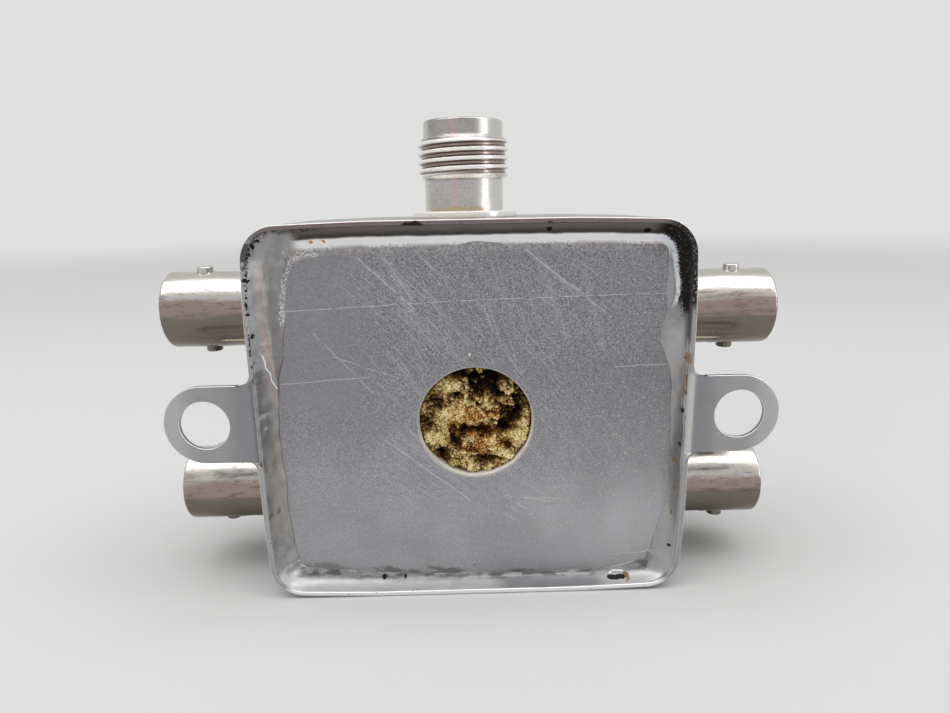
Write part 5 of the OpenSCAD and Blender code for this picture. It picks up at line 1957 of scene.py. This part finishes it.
def foam_finish(name, paler):
    tree, shader, position = start_finish(name)
    broad, small = cloud(position, 0.6) - 0.5, cloud(position, 5.0, 2.0, 0.65) - 0.5
    # Painted shade: the deeper a point lies, the darker its colour on the ramp.
    stage = attribute(tree, "depth") / DARKEST_DEPTH + broad * 0.5 + small * 2.0 - paler
    spots = [(HOLE_X + x, HOLE_Z + z, reach_x, reach_z) for x, z, reach_x, reach_z in GOLD_SPOTS]
    gold = stains(position, PLATE_FRONT + 1.0, 3.0, spots, 0.5, 1.5) * ease(stage, -0.05, 0.22)
    foam = ramp(stage, FOAM_COLOURS)
    amber = blend(1.0, foam, colour(*FOAM_AMBER), how="MULTIPLY")
    set_inputs(shader, {
        "Base Color": blend(gold * 0.8, foam, amber),
        "Roughness": 0.85,
        "Specular IOR Level": 0.3,
        "Normal": relief(cloud(position, 7.0), 0.06)})


foam_finish("brittle_foam", 0.0)
foam_finish("crumbs", 0.10)
print("foam finishes ready")

# %% [markdown]
# ## Finishes of the inner pieces
#
# What is sealed in the foam is never seen from outside, but each piece still gets the
# finish of the real thing, so that the part can be opened in another scene: laminate,
# ferrite, enamelled wire, painted resistors and capacitors, and a white insulator.

# %% Board, cores, windings, components
INNER_FINISHES = [
    # Name, two tones, size of the clouds in mm, roughness, metallic, depth of the relief in mm
    ("board_laminate", (0.16, 0.20, 0.06), (0.22, 0.25, 0.09), 0.7, 0.40, 0.0, 0.01),
    ("grey_ferrite", (0.035, 0.033, 0.032), (0.07, 0.065, 0.06), 0.25, 0.55, 0.0, 0.03),
    ("enamelled_wire", (0.42, 0.13, 0.04), (0.52, 0.20, 0.07), 0.5, 0.22, 0.6, 0.01),
    ("resistor_paint", (0.30, 0.22, 0.12), (0.36, 0.28, 0.17), 0.6, 0.35, 0.0, 0.01),
    ("capacitor_paint", (0.50, 0.26, 0.06), (0.58, 0.33, 0.09), 0.8, 0.30, 0.0, 0.01),
    ("white_dielectric", (0.78, 0.76, 0.69), (0.84, 0.82, 0.77), 1.2, 0.35, 0.0, 0.01),
]


def inner_finish(name, first, second, size, rough, metallic, depth):
    """Two tones mixed by a noise of a given size, with a fine relief."""
    _, shader, position = start_finish(name)
    tone = cloud(position, 1 / size, 3.0, 0.6)
    set_inputs(shader, {
        "Base Color": two_tones(ease(tone, 0.35, 0.65), first, second),
        "Metallic": metallic,
        "Roughness": ease(tone, 0.3, 0.7, rough, rough + 0.12),
        "Normal": relief(tone, depth)})


for finish_values in INNER_FINISHES:
    inner_finish(*finish_values)
print("materials:", len(bpy.data.materials))

# %% [markdown]
# ## Dressing the part
#
# Now every new piece takes the place of its CAD node, and the nodes that stay as they are
# get their finish. Each one is also listed with the name of a slot of the record, which this
# script does not use.

# %% Pieces that replace CAD nodes
finish_piece(case_sheet, "satin_sheet", "case_metal", "case_shell")
finish_piece(plate, "scuffed_plate", "plate_metal", "cover_plate")
finish_piece(seam, "old_solder", "solder", "solder_seam")
finish_piece(foam_body, "brittle_foam", "foam", "foam_fill")
finish_piece(plug, "brittle_foam", "foam", "foam_fill")
finish_piece(crumbs, "crumbs", "foam")
finish_piece(thread, "thread_nickel", "thread_metal")
for jack in JACKS:
    top = jack == "top_jack"
    nickel, nickel_slot = ("bright_nickel", "thread_metal") if top else ("dull_nickel", "jack_metal")
    finish_piece(bodies[jack], nickel, nickel_slot, jack + "_body")
    finish_piece(insulators[jack], "white_dielectric", "insulator", jack + "_insulator")
    finish_piece(contacts[jack], "socket_gold", "contact_metal", jack + "_contact")

# %% CAD nodes that stay
KEPT_FINISHES = {
    # Ending of the node's name: material and slot
    "_washer": ("spring_steel", "washer_steel"), "_nut": ("nut_nickel", "nut_metal"),
    "_wire": ("tinned_wire", "wire"), "_core": ("grey_ferrite", "ferrite"),
    "_winding": ("enamelled_wire", "winding"), "_resistor": ("resistor_paint", "resistor"),
    "_capacitor": ("capacitor_paint", "capacitor"), "circuit_board": ("board_laminate", "board"),
    "board_posts": ("nut_nickel", "nut_metal"),
}
dressed = 0
for name, node in frame["nodes"].items():
    for ending, (material, slot) in KEPT_FINISHES.items():
        if name.endswith(ending):
            node.data.materials.clear()
            node.data.materials.append(bpy.data.materials[material])
            dressed += 1
print("CAD nodes dressed:", dressed)
